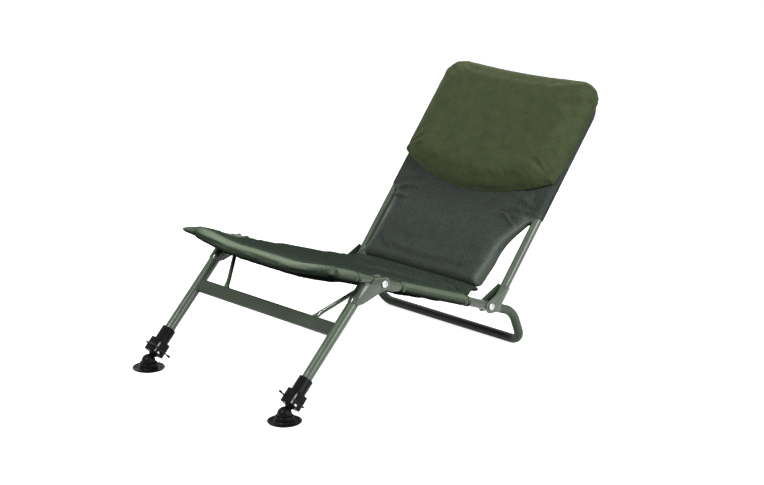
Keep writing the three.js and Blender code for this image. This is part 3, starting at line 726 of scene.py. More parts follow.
def shaped(body, *tools):
    # Solid cuts and joins of one bmesh by others, given as pairs of an operation and a bmesh
    piece = as_object(body, "work")
    helpers = []
    for operation, tool in tools:
        helper = as_object(tool, "tool")
        cutter = piece.modifiers.new(operation, "BOOLEAN")
        cutter.operation = operation
        cutter.solver = "EXACT"
        cutter.object = helper
        helpers.append(helper)
    view = bpy.context.evaluated_depsgraph_get()
    result = bmesh.new()
    result.from_mesh(piece.evaluated_get(view).to_mesh())
    for done in [piece, *helpers]:
        mesh = done.data
        bpy.data.objects.remove(done)
        bpy.data.meshes.remove(mesh)
    bmesh.ops.dissolve_limit(result, angle_limit=math.radians(1), verts=result.verts[:],
                             edges=result.edges[:])
    return result


def joined(parts):
    bm = bmesh.new()
    for part in parts:
        mesh = bpy.data.meshes.new("part")
        part.to_mesh(mesh)
        part.free()
        bm.from_mesh(mesh)
        bpy.data.meshes.remove(mesh)
    return bm


def soften(bm, width, segments=2):
    sharp = [e for e in bm.edges if e.is_manifold and e.calc_face_angle(0) > smooth_angle]
    bmesh.ops.bevel(bm, geom=sharp, offset=width, affect="EDGES", segments=segments, profile=0.5,
                    material=-1, clamp_overlap=True)
    return bm


def rod(radius, low, high, sides=tube_sides):
    bm = bmesh.new()
    bmesh.ops.create_cone(bm, cap_ends=True, segments=sides, radius1=radius, radius2=radius,
                          depth=high - low, matrix=Matrix.Translation((0, 0, (low + high) / 2)))
    return bm


def cross_rod(radius):
    bm = rod(radius, -collar_top, collar_top, hole_sides)
    bm.transform(Matrix.Rotation(quarter, 4, "Y"))
    return bm


# Seat frame


def bow_corners(start):
    half = [Vector((half_width, -start, 0)), Vector((half_width, -front_reach, 0)),
            Vector((half_width - front_dip_inset, -front_reach, -front_dip))]
    return half + mirrored(half)[::-1]


front_bends = [front_bend, front_dip_bend, front_dip_bend, front_bend]


def make_seat_frame():
    for side, sign in sides:
        ends = [Vector((sign * half_width, rear_splice, 0)),
                Vector((sign * half_width, -pivot_spacing - front_splice, 0))]
        rail = settle(hollow(tube(ends, [], tube_radius), tube_wall), f"seat_rail_{side}", paint, seat_place)
        carried(rail, "frame", "frame_paint", f"rail_{side}")
    bow = hollow(tube(bow_corners(pivot_spacing + front_splice + gap), front_bends, tube_radius), tube_wall)
    carried(settle(bow, "front_bow_tube", paint, seat_place), "frame", "frame_paint", "front_bow")
    rearward = seat_place.to_3x3() @ Vector((0, 1, 0))
    pivot = Vector((half_width, rear_pivot.y, rear_pivot.z))
    knee = pivot + rearward * rail_tail
    drop = knee.z - tube_radius
    heel = Vector((half_width, knee.y + drop * math.tan(drop_lean), tube_radius))
    half = [pivot + rearward * (rear_splice + gap), knee, heel]
    ground = tube(half + mirrored(half)[::-1], [drop_bend, ground_bend, ground_bend, drop_bend], tube_radius)
    # The straight ground run of this tube carries painted shadow
    ground_bow = settle(hollow(ground, tube_wall), "ground_bow_tube", shadowed_run_enamel)
    carried(ground_bow, "frame", "frame_paint", "ground_bow")


def make_saddles():
    inner = tube_radius + gap
    outer = inner + saddle_sheet
    section = ([(outer, -saddle_below)] + arc(0, 0, outer, 0, math.pi) + [(-outer, -saddle_below)]
               + [(-inner, -saddle_below)] + arc(0, 0, inner, math.pi, 0) + [(inner, -saddle_below)])
    length = saddle_ahead + saddle_behind
    lying = Matrix.Translation((0, saddle_behind, 0)) @ Matrix.Rotation(quarter, 4, "X")
    end = (saddle_below + outer) / 2
    outline = ([(-saddle_ahead, outer + sheet), (-saddle_ahead, -saddle_below - sheet)]
               + arc(saddle_behind - end, (outer - saddle_below) / 2, end, -quarter, quarter))
    for side, sign in sides:
        bm = shaped(plate(section, length, lying), ("INTERSECT", plate(outline, 4 * outer,
                    across_place(-2 * outer))), ("DIFFERENCE", cross_rod(bolt_hole)))
        place = seat_place @ Matrix.Translation((sign * half_width, -pivot_spacing, 0))
        saddle = settle(soften(bm, sheet_edge, 1), f"pivot_saddle_{side}", paint, place)
        carried(saddle, "frame", "frame_paint", f"saddle_{side}")


def bolt_bm(ear_outer):
    # A domed head with a hexagon socket, a shank and a point past the nut, about Z
    seat_face = ear_outer + gap
    top = seat_face + bolt_head_height
    dome = arc(0, 0, 1, 0, quarter, dome_steps)
    head = [(bolt_head * c, seat_face + bolt_rim + (bolt_head_height - bolt_rim) * s) for c, s in dome]
    crown = [point for point in head if point[0] > socket_radius * 1.1]
    profile = [(0, -seat_face - nut_height - bolt_tip),
               (bolt_radius - bolt_tip / 2, -seat_face - nut_height - bolt_tip),
               (bolt_radius, -seat_face - nut_height), (bolt_radius, seat_face),
               (bolt_head - bolt_tip / 4, seat_face), (bolt_head, seat_face + bolt_tip / 4), *crown,
               (socket_radius * 1.05, top - bolt_tip / 5), (socket_radius, top - bolt_tip / 3),
               (socket_radius, top - socket_depth), (0, top - socket_depth * 1.2)]
    bm = turned(profile, bolt_sides)
    for vert in bm.verts:
        radius = math.hypot(vert.co.x, vert.co.y)
        if vert.co.z > seat_face + bolt_rim and 0 < radius < socket_radius * 1.01:
            around = math.atan2(vert.co.y, vert.co.x) % (math.pi / 3) - math.pi / 6
            shrink = math.cos(math.pi / 6) / math.cos(around)
            vert.co.x *= shrink
            vert.co.y *= shrink
    return bm


def make_bolts():
    for name, pivot, ear_outer in (("front_pivot", front_pivot, leg_ear_outer),
                                   ("rear_pivot", rear_pivot, rear_ear_outer)):
        for side, sign in sides:
            place = Matrix.Translation((sign * half_width, pivot.y, pivot.z))
            outward = Matrix.Rotation(sign * quarter, 4, "Y")
            node = f"{name}_bolt_{side}"
            bolt = settle(bolt_bm(ear_outer), f"{name}_socket_bolt_{side}", zinc, place @ outward)
            carried(bolt, "frame", "bright_steel", node)


# Front legs


def from_rail(ahead, above):
    return (-ahead * math.cos(fold_angle) - above * math.sin(fold_angle),
            -ahead * math.sin(fold_angle) + above * math.cos(fold_angle))


def make_leg_tubes():
    low = -leg_reach + leg_foot
    high = (-leg_offset * math.tan(fold_angle) - (tube_radius + 2 * gap) / math.cos(fold_angle)
            - leg_radius * math.tan(fold_angle))
    for side, sign in sides:
        ends = [Vector((sign * half_width, -leg_offset, z)) for z in (low, high)]
        leg = settle(hollow(tube(ends, [], leg_radius), tube_wall), f"front_leg_{side}", paint, leg_place)
        carried(leg, "legs", "frame_paint", f"leg_tube_{side}")


def make_leg_brackets():
    stop = -(tube_radius + gap)
    front_ahead = (leg_offset + leg_ear_outer - stop * math.sin(fold_angle)) / math.cos(fold_angle)
    outline = [(-leg_offset + leg_radius - bracket_cut, -leg_bracket_reach),
               (-leg_offset + leg_radius, -leg_bracket_reach + bracket_cut)]
    outline += arc(0, 0, ear_radius, -math.pi / 3, math.pi - fold_angle - math.pi / 3)
    outline += [from_rail(ear_neck, ear_radius / 3),
                from_rail((ear_neck + ear_hollow) / 2, stop + ear_radius / 3),
                from_rail(ear_hollow, stop), from_rail(front_ahead, stop),
                (-leg_offset - leg_ear_outer, -leg_bracket_reach)]
    open_end = 2 * ear_radius
    section = arc(0, -leg_offset, leg_ear_outer, math.pi, math.tau) + [(leg_ear_outer, open_end),
              (leg_ear_inner, open_end)]
    section += arc(0, -leg_offset, leg_ear_inner, math.tau, math.pi) + [(-leg_ear_inner, open_end),
               (-leg_ear_outer, open_end)]
    low = -leg_bracket_reach - ear_radius
    for side, sign in sides:
        bm = shaped(plate(section, 2 * ear_radius - low, Matrix.Translation((0, 0, low))),
                    ("INTERSECT", plate(outline, 4 * leg_ear_outer, across_place(-2 * leg_ear_outer))),
                    ("DIFFERENCE", cross_rod(bolt_hole)))
        place = leg_place @ Matrix.Translation((sign * half_width, 0, 0))
        bracket = settle(soften(bm, sheet_edge), f"leg_hinge_bracket_{side}", paint, place)
        carried(bracket, "legs", "frame_paint", f"leg_bracket_{side}")


def make_crossbar():
    low = -leg_reach + crossbar_above_ankle
    half = crossbar_thickness / 2
    outline = rounded(-leg_offset - half, -leg_offset + half, low, low + crossbar_height, crossbar_corner)
    reach = half_width - leg_radius / 2
    bar = plate(outline, 2 * reach, across_place(-reach))
    cuts = []
    for _, sign in sides:
        bore = rod(leg_radius + gap, low - half, low + crossbar_height + half)
        bore.transform(Matrix.Translation((sign * half_width, -leg_offset, 0)))
        cuts.append(("DIFFERENCE", bore))
    crossbar = settle(shaped(bar, *cuts), "pressed_crossbar", bar_paint, leg_place)
    carried(crossbar, "legs", "crossbar_paint", "crossbar")


def make_struts():
    bar_top = -leg_reach + crossbar_above_ankle + crossbar_height
    for side, sign in sides:
        foot_x = sign * (half_width - strut_inset)
        top_x = sign * (half_width - leg_ear_outer - gap - strut_radius)
        foot = Vector((foot_x, -leg_offset + strut_foot_set_back, bar_top + gap))
        top = Vector((top_x, -leg_offset + strut_top_set_back, -strut_top_below_pivot))
        bm = tube([foot, top], [], strut_radius, rod_sides)
        bmesh.ops.subdivide_edges(bm, edges=[e for e in bm.edges if e.calc_length() > strut_flat_length],
                                  cuts=strut_cuts)
        for vert in bm.verts:
            flat = 1 - ease((vert.co.z - foot.z) / strut_flat_length)
            vert.co.x += (vert.co.x - foot_x) * flat * foot_spread_share
            vert.co.y += (foot.y - vert.co.y) * flat * foot_flat_share
            vert.co.z = max(vert.co.z, foot.z)
        strut = settle(capped(bm, sheet_edge), f"brace_rod_{side}", paint, leg_place)
        carried(strut, "legs", "frame_paint", f"strut_{side}")


def ease(share):
    held = min(1, max(0, share))
    return held * held * (3 - 2 * held)


# Lock housings, inner legs, clips and mud feet, drawn with the ankle at the origin


def ankle_place(sign):
    spin = Matrix.Identity(4) if sign > 0 else Matrix.Rotation(math.pi, 4, "Z")
    return leg_place @ Matrix.Translation((sign * half_width, -leg_offset, -leg_reach)) @ spin


def make_housings():
    reach = 2 * housing_rear
    floor = housing_bottom + window_floor
    ceiling = housing_top - window_floor
    for side, sign in sides:
        cut = housing_chamfer
        outline = [(housing_half - cut, -housing_front), (housing_half, -housing_front + cut)]
        outline += arc(housing_half - housing_corner, housing_rear - housing_corner, housing_corner, 0,
                       quarter, corner_steps)
        outline += [(-housing_half + cut, housing_rear), (-housing_half, housing_rear - cut)]
        outline += arc(-housing_half + housing_corner, -housing_front + housing_corner, housing_corner,
                       2 * quarter, 3 * quarter, corner_steps)
        block = plate(outline, housing_top - housing_bottom, Matrix.Translation((0, 0, housing_bottom)))
        collar = rod(collar_radius, housing_top - housing_corner, collar_top)
        tools = [("UNION", collar), ("DIFFERENCE", rod(leg_radius + gap, housing_top, 2 * collar_top)),
                 ("DIFFERENCE", rod(inner_radius + gap, 0, 2 * collar_top))]
        for turn in (-quarter / 2, 3 * quarter / 2):
            slot = plate(rounded(0, reach, -corner_window / 2, corner_window / 2, corner_window / 4),
                         ceiling - floor, Matrix.Rotation(turn, 4, "Z") @ Matrix.Translation((0, 0, floor)))
            tools.append(("DIFFERENCE", slot))
        window = oblong(-side_window / 2, side_window / 2, floor, side_window_top)
        tools.append(("DIFFERENCE", plate(window, 2 * reach, across_place(-reach))))
        half = clip_radius + gap
        groove = oblong(-reach, reach, clip_height - half, clip_height + half)
        for left in (clip_half - half, -clip_half + half - reach):
            tools.append(("DIFFERENCE", plate(groove, reach, across_place(left))))
        bm = soften(shaped(block, *tools), housing_edge)
        housing = settle(bm, f"lock_body_{side}", black_nylon, ankle_place(sign))
        carried(housing, "legs", "black_plastic", f"lock_housing_{side}")
        half = side_window / 2 - gap
        outline = oblong(-half, half, floor + gap, side_window_top - gap)
        near = housing_half - lock_plate_depth
        plates = joined([plate(outline, lock_plate, across_place(left)) for left in (near, -near)])
        lock = settle(soften(plates, sheet_edge, 1), f"lock_plates_{side}", zinc, ankle_place(sign))
        carried(lock, "legs", "bright_steel")


def make_inner_legs():
    for side, sign in sides:
        neck = housing_bottom
        profile = [(0, neck), (inner_radius - sheet_edge, neck), (inner_radius, neck + sheet_edge),
                   (inner_radius, inner_top), (inner_radius - tube_wall, inner_top),
                   (inner_radius - tube_wall, neck + window_floor), (0, neck + window_floor)]
        leg = settle(turned(profile), f"sliding_leg_{side}", zinc, ankle_place(sign))
        carried(leg, f"leg_insert_{side}", "bright_steel", f"inner_leg_{side}")
        seat_at = math.sqrt((ball_radius + gap) ** 2 - stem_foot_radius ** 2)
        top = neck - gap
        cone = [(0, seat_at), (stem_foot_radius, seat_at), (stem_radius, top - 2 * sheet_edge),
                (stem_radius - sheet_edge, top), (0, top)]
        stem = settle(turned(cone), f"ball_stem_{side}", black_nylon, ankle_place(sign))
        carried(stem, f"leg_insert_{side}", "black_plastic")


def make_clips():
    corners = [Vector((clip_half, -clip_front, clip_height)), Vector((clip_half, clip_rear, clip_height)),
               Vector((-clip_half, clip_rear, clip_height)), Vector((-clip_half, -clip_tail, clip_height))]
    for side, sign in sides:
        bm = capped(tube(corners, [clip_bend, clip_bend], clip_radius, wire_sides), clip_radius / 2)
        clip = settle(bm, f"wire_clip_{side}", wire_black, ankle_place(sign))
        carried(clip, f"clip_{side}", "bright_steel", f"lock_clip_{side}")
        tail = corners[-1]
        ends = [tail + Vector((0, clip_sleeve_length, 0)), tail - Vector((0, clip_sleeve, 0))]
        bm = capped(tube(ends, [], clip_radius + clip_sleeve, wire_sides), clip_sleeve)
        grip = settle(bm, f"clip_grip_{side}", black_nylon, ankle_place(sign))
        carried(grip, f"clip_{side}", "black_plastic")


def make_feet():
    cavity = ball_radius + gap
    mouth = math.acos((ankle.z - cup_top) / cavity)
    shoulder = arc(cup_radius - cup_shoulder, cup_top - cup_shoulder, cup_shoulder, 0, quarter,
                   shoulder_steps)
    sweep = [mouth * (1 - i / bowl_steps) for i in range(bowl_steps)]
    bowl = [(cavity * math.sin(a), ankle.z - cavity * math.cos(a)) for a in sweep]
    profile = [(0, 0), (foot_radius - sheet, 0), (foot_radius, sheet),
               (foot_radius, foot_rim - sheet_edge), (foot_radius - sheet_edge, foot_rim),
               (foot_radius - foot_rim_width, foot_rim), (foot_radius - 1.5 * foot_rim_width, foot_plate),
               (cup_radius + foot_plate, foot_plate), (cup_radius, 2 * foot_plate), *shoulder, *bowl,
               (0, ankle.z - cavity)]
    around = [math.radians(degrees) for degrees in range(-84, 85, 6)]
    ball = [(0, -ball_radius), *((ball_radius * math.cos(a), ball_radius * math.sin(a)) for a in around),
            (0, ball_radius)]
    quarters = [Matrix.Rotation(quarter * i + quarter / 2, 4, "Z") for i in range(4)]
    lying = Matrix.Translation((0, foot_radius, 0)) @ Matrix.Rotation(quarter, 4, "X")
    slot = oblong(-cup_slot / 2, cup_slot / 2, 2 * foot_plate, 2 * cup_top)
    for side, sign in sides:
        place = Matrix.Translation((sign * half_width, ankle.y, 0))
        tools = []
        for turn in quarters:
            hole = rod(peg_hole, -foot_rim, 2 * foot_rim, rod_sides)
            hole.transform(turn @ Matrix.Translation((peg_circle, 0, 0)))
            tools.append(("DIFFERENCE", hole))
        for turn in quarters[:2]:
            tools.append(("DIFFERENCE", plate(slot, 2 * foot_radius, turn @ lying)))
        disc = soften(shaped(turned(profile, disc_sides), *tools), sheet_edge, 1)
        foot = settle(disc, f"mud_foot_disc_{side}", black_nylon, place)
        carried(foot, f"foot_{side}", "black_plastic", f"mud_foot_{side}")
        swivel = settle(turned(ball), f"swivel_ball_{side}", black_nylon,
                        place @ Matrix.Translation((0, 0, ankle.z)))
        carried(swivel, f"ball_{side}", "black_plastic", f"ankle_ball_{side}")


# Backrest frame


def make_back_frame():
    heel_rise = (back_offset + tube_radius) * math.sin(back_angle)
    stop = (tube_radius + 2 * gap + heel_rise) / math.cos(back_angle)
    for side, sign in sides:
        ends = [Vector((sign * half_width, back_offset, z)) for z in (stop, back_splice)]
        post = settle(hollow(tube(ends, [], tube_radius), tube_wall), f"back_post_{side}", paint, back_place)
        carried(post, "backrest", "frame_paint", f"back_tube_{side}")
    half = [Vector((half_width, back_offset, back_splice + gap)), Vector((half_width, back_offset,
            back_height))]
    bow = hollow(tube(half + mirrored(half)[::-1], [back_bend, back_bend], tube_radius), tube_wall)
    carried(settle(bow, "top_bow_tube", paint, back_place), "backrest", "frame_paint", "top_bow")


def make_rear_brackets():
    rear = back_offset + rear_ear_outer
    outline = arc(0, 0, ear_radius, math.pi, 1.6 * math.pi) + [(rear, rear_ear_low),
              (rear, rear_bracket_top), (back_offset - tube_radius, rear_bracket_top - sheet)]
    low = -2 * ear_radius
    section = [(rear_ear_outer, low)] + arc(0, back_offset, rear_ear_outer, 0, math.pi)
    section += [(-rear_ear_outer, low), (-rear_ear_inner, low)]
    section += arc(0, back_offset, rear_ear_inner, math.pi, 0) + [(rear_ear_inner, low)]
    slope = math.tan(back_angle)
    clear = (tube_radius + gap) / math.cos(back_angle)
    far = 4 * ear_radius
    path = [(-far, clear - far * slope), (-far, -far), (rear + far, -far),
            (rear + far, clear + (rear + far) * slope)]
    for side, sign in sides:
        bm = shaped(plate(section, rear_bracket_top - 2 * low, Matrix.Translation((0, 0, low))),
                    ("INTERSECT", plate(outline, 4 * rear_ear_outer, across_place(-2 * rear_ear_outer))),
                    ("DIFFERENCE", plate(path, 2 * rear_ear_inner, across_place(-rear_ear_inner))),
                    ("DIFFERENCE", cross_rod(bolt_hole)))
        place = back_place @ Matrix.Translation((sign * half_width, 0, 0))
        bracket = settle(soften(bm, sheet_edge), f"recline_bracket_{side}", paint, place)
        carried(bracket, "backrest", "frame_paint", f"rear_bracket_{side}")


# Padded cloth


def pad_shell(columns, rows, shape):
    # A grid for the face, its copy for the back, and a strip that joins their rims
    bm = bmesh.new()
    bmesh.ops.create_grid(bm, x_segments=columns, y_segments=rows, size=1)
    front = bm.verts[:]
    copied = bmesh.ops.duplicate(bm, geom=bm.verts[:] + bm.edges[:] + bm.faces[:])["geom"]
    back = only(bmesh.types.BMVert, copied)
    bmesh.ops.reverse_faces(bm, faces=only(bmesh.types.BMFace, copied))
    for verts, side in ((front, 1), (back, 0)):
        for vert in verts:
            vert.co = shape(vert.co.x, (vert.co.y + 1) / 2, side)
    rims = [e for e in bm.edges if e.is_boundary]
    bmesh.ops.bridge_loops(bm, edges=rims)
    return bm


def rim_turn(across):
    # How far round the rim a place on the shell is: a quarter turn at the outermost point
    return max(0, (abs(across) - core_share) / (1 - core_share)) * quarter


def bend_lean(along, end, bend):
    # How far a frame tube has turned at a place in its corner bend, which stops at that end
    return math.asin(min(1, max(0, along - (end - bend)) / bend))


def sideways(at, ahead, up):
    return Vector((math.copysign(1, at.x), ahead, up))


def mix(a, b, share):
    return a + (b - a) * share


def crown(share, power):
    return math.sqrt(max(0, 1 - abs(share) ** power))


# The seat cover is one shell: it wraps the front bow and the rails, leaves the rails at the leg pivots,
# and narrows behind the rear sleeves to the crease


def bow_level(x):
    # How far the front bow dips below the rails: straight down to the middle run, with a soft bend
    share = (half_width - abs(x)) / front_dip_inset
    past = min(max(share - 1 + dip_bend_share, 0), 2 * dip_bend_share)
    return -front_dip * (min(share, 1 + dip_bend_share) - past * past / (4 * dip_bend_share))


def in_sleeve(ahead):
    rear = ease((ahead - rear_sleeve_start) / sleeve_flare) * ease((rear_sleeve_end - ahead) / sleeve_flare)
    front = ease((ahead - pivot_spacing - front_sleeve_start) / sleeve_flare)
    return max(rear, front)


def seat_edge(ahead):
    # Centre and radius of the rounded edge: its distance from the middle and its level. Behind the
    # rear sleeves the edge is a web that runs in to the corner of the crease
    share = min(1, max(0, (rear_sleeve_start - ahead) / (rear_sleeve_start - crease_ahead)))
    web = mix(half_width - web_inset, half_width - crease_inset - seat_rim, share)
    free = half_width - hem_radius - pivot_cut - seat_rim if ahead > rear_sleeve_end / 2 else web
    level = mix(seat_rim_level, crease_height - 1.5 * seat_rim, ease(share))
    wrap = in_sleeve(ahead)
    return mix(free, half_width, wrap), mix(level, 0, wrap), mix(seat_rim, sleeve_radius, wrap)


def seat_shape(across, along, side):
    sign = 1 if side else -1
    rolled = max(0, 1 - along / roll_share)
    ahead = mix(front_reach, crease_ahead - seat_tuck, max(0, (along - roll_share) / (1 - roll_share)))
    edge_x, edge_level, edge_radius = seat_edge(ahead)
    lean = bend_lean(ahead, front_reach, front_bend)
    edge_x -= front_bend * (1 - math.cos(lean))
    to_turn = ease((pivot_spacing - ahead) / (pivot_spacing - seat_turn))
    to_front = ease((ahead - pivot_spacing) / front_overhang)
    to_crease = max(0, min(1, (seat_turn - ahead) / (seat_turn - crease_ahead)))
    if side:
        inner = mix(seat_top_middle, seat_top_rear, to_turn)
        inner += (crease_height - seat_top_rear) * to_crease ** 1.5
    else:
        inner = mix(mix(seat_bottom_middle, seat_bottom_rear, to_turn), crease_height - 3 * seat_rim,
                    to_crease)
    share = min(1, abs(across) / core_share)
    x = share * edge_x
    hem = bow_level(x) + sign * hem_radius
    height = mix(mix(edge_level + sign * edge_radius, inner, crown(share, 3)), hem, to_front)
    turn = max(rolled * quarter, rim_turn(across))
    if turn:
        level = mix(edge_level, bow_level(x), to_front)
        ripple = math.sin(x / hem_ripple + 2 * turn)
        ripple += math.sin(second_ripple_share * x / hem_ripple - turn + 1)
        wavy = hem_radius + hem_ripple_depth * ripple * crown(x / half_width, 2)
        radius = mix(edge_radius, wavy, to_front)
        mixed = height - level
        height = level + mixed * math.cos(turn)
        out = radius * math.sin(turn)
        x += out * (math.cos(lean) if not rolled else 0)
        ahead += out * (math.sin(lean) if not rolled else 1)
    tucked = max(0, crease_ahead - ahead) / seat_tuck
    height = mix(height, crease_height - 1.5 * seat_rim, 1 - crown(tucked, 3))
    return Vector((math.copysign(x, across), -ahead, height))


# The back cover is one shell too: a free pad from the crease to the waist, and above it a pocket that
# wraps both back tubes


def waist_at(height):
    # Half the width of the free pad: narrow at the crease, and drawn in on the way up to the tubes
    share = min(1, max(0, (height - back_turn) / (waist_end - back_turn)))
    return mix(half_width - waist_inset, half_width - sleeve_radius, ease(share ** waist_bow_share))


def back_shape(across, along, side):
    sign = 1 if side else -1
    height = mix(back_bottom, back_sleeve_end, along)
    to_top = ease((height - back_turn) / (pad_end - back_turn))
    to_turn = ease((height - back_bottom) / (back_turn - back_bottom))
    front = mix(mix(pad_front_bottom, pad_front_turn, to_turn), pad_front_top, to_top)
    rear = mix(mix(pad_rear_bottom, pad_rear_turn, to_turn), pad_rear_top, to_top)
    waist = waist_at(height)
    wrap = ease((height - back_sleeve_start + 2 * sleeve_flare) / (2 * sleeve_flare))
    sleeve = mix(sleeve_radius, under_hood, ease((height - cover_bottom) / sleeve_flare))
    edge_x = mix(waist - back_edge, half_width, wrap)
    edge_forward = mix((front + rear) / 2, 0, wrap)
    edge_thick = mix((front - rear) / 2 * back_edge_share, sleeve, wrap)
    square = 2 / mix(back_edge_square, 2, wrap)
    share = min(1, abs(across) / core_share)
    x = share * edge_x
    forward = mix(edge_forward + sign * edge_thick, front if side else rear, crown(share, 4))
    turn = rim_turn(across)
    x += mix(back_edge, sleeve, wrap) * math.sin(turn) ** square
    forward = edge_forward + (forward - edge_forward) * max(0, math.cos(turn)) ** square
    nose = max(0, 1 - (height - back_bottom) / back_nose)
    forward = mix(forward, mix(front, rear, 0.5), 1 - crown(nose, 2))
    return Vector((math.copysign(x, across), back_offset - forward, height))


def cushion_shape(across, along, side):
    rest = sleeve_radius + gap
    low = mix(cushion_middle_bottom, cushion_side_bottom, across * across)
    high = cushion_top - cushion_top_dip * (1 - across * across)
    height = mix(low, high, along)
    past = height - (high - cushion_corner)
    inner = cushion_corner - math.sqrt(max(0, cushion_corner ** 2 - past ** 2)) if past > 0 else 0
    thick = mix(cushion_edge, cushion_thickness, crown(across, 6) * crown(2 * along - 1, 8))
    side_lap = ease((abs(across) - cushion_lap_share) / (1 - cushion_lap_share))
    side_lap *= ease(along / (1 - roll_share) / cushion_lap_rise_share)
    lap = max(side_lap, ease((2 * along - 1 - cushion_lap_share) / (1 - cushion_lap_share)))
    forward = rest + thick if side else mix(rest, cushion_lap, lap)
    return Vector((across * (half_width + cushion_wrap - inner), back_offset - forward, height))


def bake(piece):
    view = bpy.context.evaluated_depsgraph_get()
    old = piece.data
    made = bpy.data.meshes.new_from_object(piece.evaluated_get(view))
    piece.modifiers.clear()
    piece.data = made
    made.name = piece.name
    bpy.data.meshes.remove(old)


def evened(piece, cell):
    even = piece.modifiers.new("even_mesh", "REMESH")
    even.mode = "VOXEL"
    even.voxel_size = cell
    even.use_smooth_shade = True
    bake(piece)


def puffed(piece, place, held, travel, spare):
    # Even mesh, then cloth blown up between its held edges, each point moving no further than travel
    evened(piece, cloth_cell)
    back = place.inverted()
    start = [vert.co.copy() for vert in piece.data.vertices]
    group = piece.vertex_groups.new(name="held")
    for vert in piece.data.vertices:
        group.add([vert.index], held(back @ vert.co), "REPLACE")
    blown = piece.modifiers.new("blown_cloth", "CLOTH")
    blown.settings.use_pressure = True
    blown.settings.uniform_pressure_force = cloth_pressure
    blown.settings.vertex_group_mass = group.name
    blown.settings.shrink_min = -spare
    blown.settings.effector_weights.gravity = 0
    blown.point_cache.frame_end = simulated_frames
    for moment in range(1, simulated_frames + 1):
        bpy.context.scene.frame_set(moment)
    bake(piece)
    for vert, at in zip(piece.data.vertices, start):
        move = vert.co - at
        if move.length > travel:
            vert.co = at + move * (travel / move.length)
    piece.vertex_groups.clear()
    bpy.context.scene.frame_set(1)
    finer = piece.modifiers.new("finer", "SUBSURF")
    finer.levels = finer.render_levels = 1
    bake(piece)


def creased(piece, place, folds, facing_axis):
    # Long soft folds, each from one place to another on the cloth, raised along the surface and with a
    # furrow on one side. A fold is its two ends (across, along), its width and its height
    back = place.inverted()
    moves = []
    for vert in piece.data.vertices:
        at = back @ vert.co
        normal = back.to_3x3() @ vert.normal
        if normal.dot(facing_axis) < fold_facing_share:
            continue
        spot = Vector((at.x, -at.y if facing_axis.z else at.z))
        lift = 0
        for start, end, width, rise in folds:
            line = Vector(end) - Vector(start)
            share = (spot - Vector(start)).dot(line) / line.length_squared
            if not 0 < share < 1:
                continue
            off = ((spot.x - start[0]) * line.y - (spot.y - start[1]) * line.x) / line.length
            fade = math.sin(math.pi * share) ** fold_fade_share
            ridge = math.exp(-(off / width) ** 2)
            furrow = math.exp(-(off / width - furrow_step_share) ** 2)
            lift += rise * fade * (ridge - furrow_share * furrow)
        if lift:
            moves.append((vert, vert.normal * lift))
    for vert, move in moves:
        vert.co += move


def lay_painted_highlight(piece, place, patches):
    # How far each point of the cloth is painted pale as a highlight. A patch is how near a point is to the
    # place, and the direction that the highlighted side faces
    back = place.inverted()
    highlighted = piece.data.attributes.new(highlight_attribute, "FLOAT", "POINT")
    for vert, spot in zip(piece.data.vertices, highlighted.data):
        at = back @ vert.co
        normal = back.to_3x3() @ vert.normal
        spot.value = max(near(at) * max(0, normal.dot(toward(at).normalized())) ** highlight_falloff
                         for near, toward in patches)


def crossing(piece, nodes=()):
    # Hides any nodes that the piece stands for, and bakes its place into its mesh
    if nodes:
        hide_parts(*nodes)
    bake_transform(piece)


def stitched(name, cover, place, rows, up):
    # Lockstitch rows laid on the cover: a row is its two ends, each stitch a small grain of thread
    surface = bmesh.new()
    surface.from_mesh(cover.data)
    skin = BVHTree.FromBMesh(surface)
    out = place.to_3x3() @ up
    bm = bmesh.new()
    for start, end in rows:
        count = round((end - start).length / stitch_pitch)
        spots = []
        for i in range(count + 1):
            above = place @ (start + (end - start) * (i / count)) + out * high_above
            at, normal, _, _ = skin.ray_cast(above, -out)
            spots.append((at, normal))
        for (at, normal), (after, _) in zip(spots, spots[1:]):
            if at is None or after is None or (after - at).length > 2 * stitch_pitch:
                continue
            along = after - at
            turn = facing(along.normalized())
            size = Matrix.Diagonal((thread_radius, thread_radius, along.length * stitch_share, 1))
            centre = (at + after) / 2 + normal * thread_radius / 3
            bmesh.ops.create_uvsphere(bm, u_segments=stitch_sides, v_segments=stitch_rings, radius=1,
                                      matrix=Matrix.Translation(centre) @ turn @ size)
    surface.free()
    crossing(settle(bm, name, thread))


def make_seat_cover():
    seat = settle(pad_shell(*pad_grid, seat_shape), "seat_cover", seat_cloth, seat_place)

    def held(at):
        edge_x, _, edge_radius = seat_edge(-at.y)
        side_hold = ease((abs(at.x) - (edge_x - 2 * edge_radius)) / edge_radius)
        return max(side_hold, ease((-at.y - front_reach + 2 * hem_radius) / hem_radius),
                   ease((3 * crease_ahead + at.y) / crease_ahead))
    puffed(seat, seat_place, held, cloth_travel, seat_spare_share)
    creased(seat, seat_place, seat_folds, upright)
    creased(seat, seat_place, hem_folds, forward_axis)

    def near_hem(at):
        to_end = ease((half_width - abs(at.x)) / highlight_end)
        to_hem = ease((-at.y - front_reach + 2 * hem_radius) / hem_radius)
        return to_hem * mix(end_highlight_share, 1, to_end)

    def near_side(at):
        return ease((abs(at.x) - half_width + hem_radius) / hem_radius) * side_highlight_share
    # Painted highlight on the top of the front hem roll and on the upper outer sides of the sleeves
    lay_painted_highlight(seat, seat_place, ((near_hem, lambda at: hem_highlight_way),
                           (near_side, lambda at: sideways(at, *side_highlight_way))))
    seam = half_width - sleeve_radius - seam_inset
    across = half_width - front_bend
    front_seam = front_reach - seam_from_front
    rows = []
    for ahead in (front_seam, front_seam - seam_pair):
        rows.append((Vector((-across, -ahead, 0)), Vector((across, -ahead, 0))))
    for _, sign in sides:
        for start, end in ((rear_sleeve_start, rear_sleeve_end),
                           (pivot_spacing + front_sleeve_start, front_seam)):
            rows.append((Vector((sign * seam, -start, 0)), Vector((sign * seam, -end, 0))))
    stitched("seat_stitching", seat, seat_place, rows, upright)
    crossing(seat, ("seat_panel", "crease_cloth", "seat_hem"))


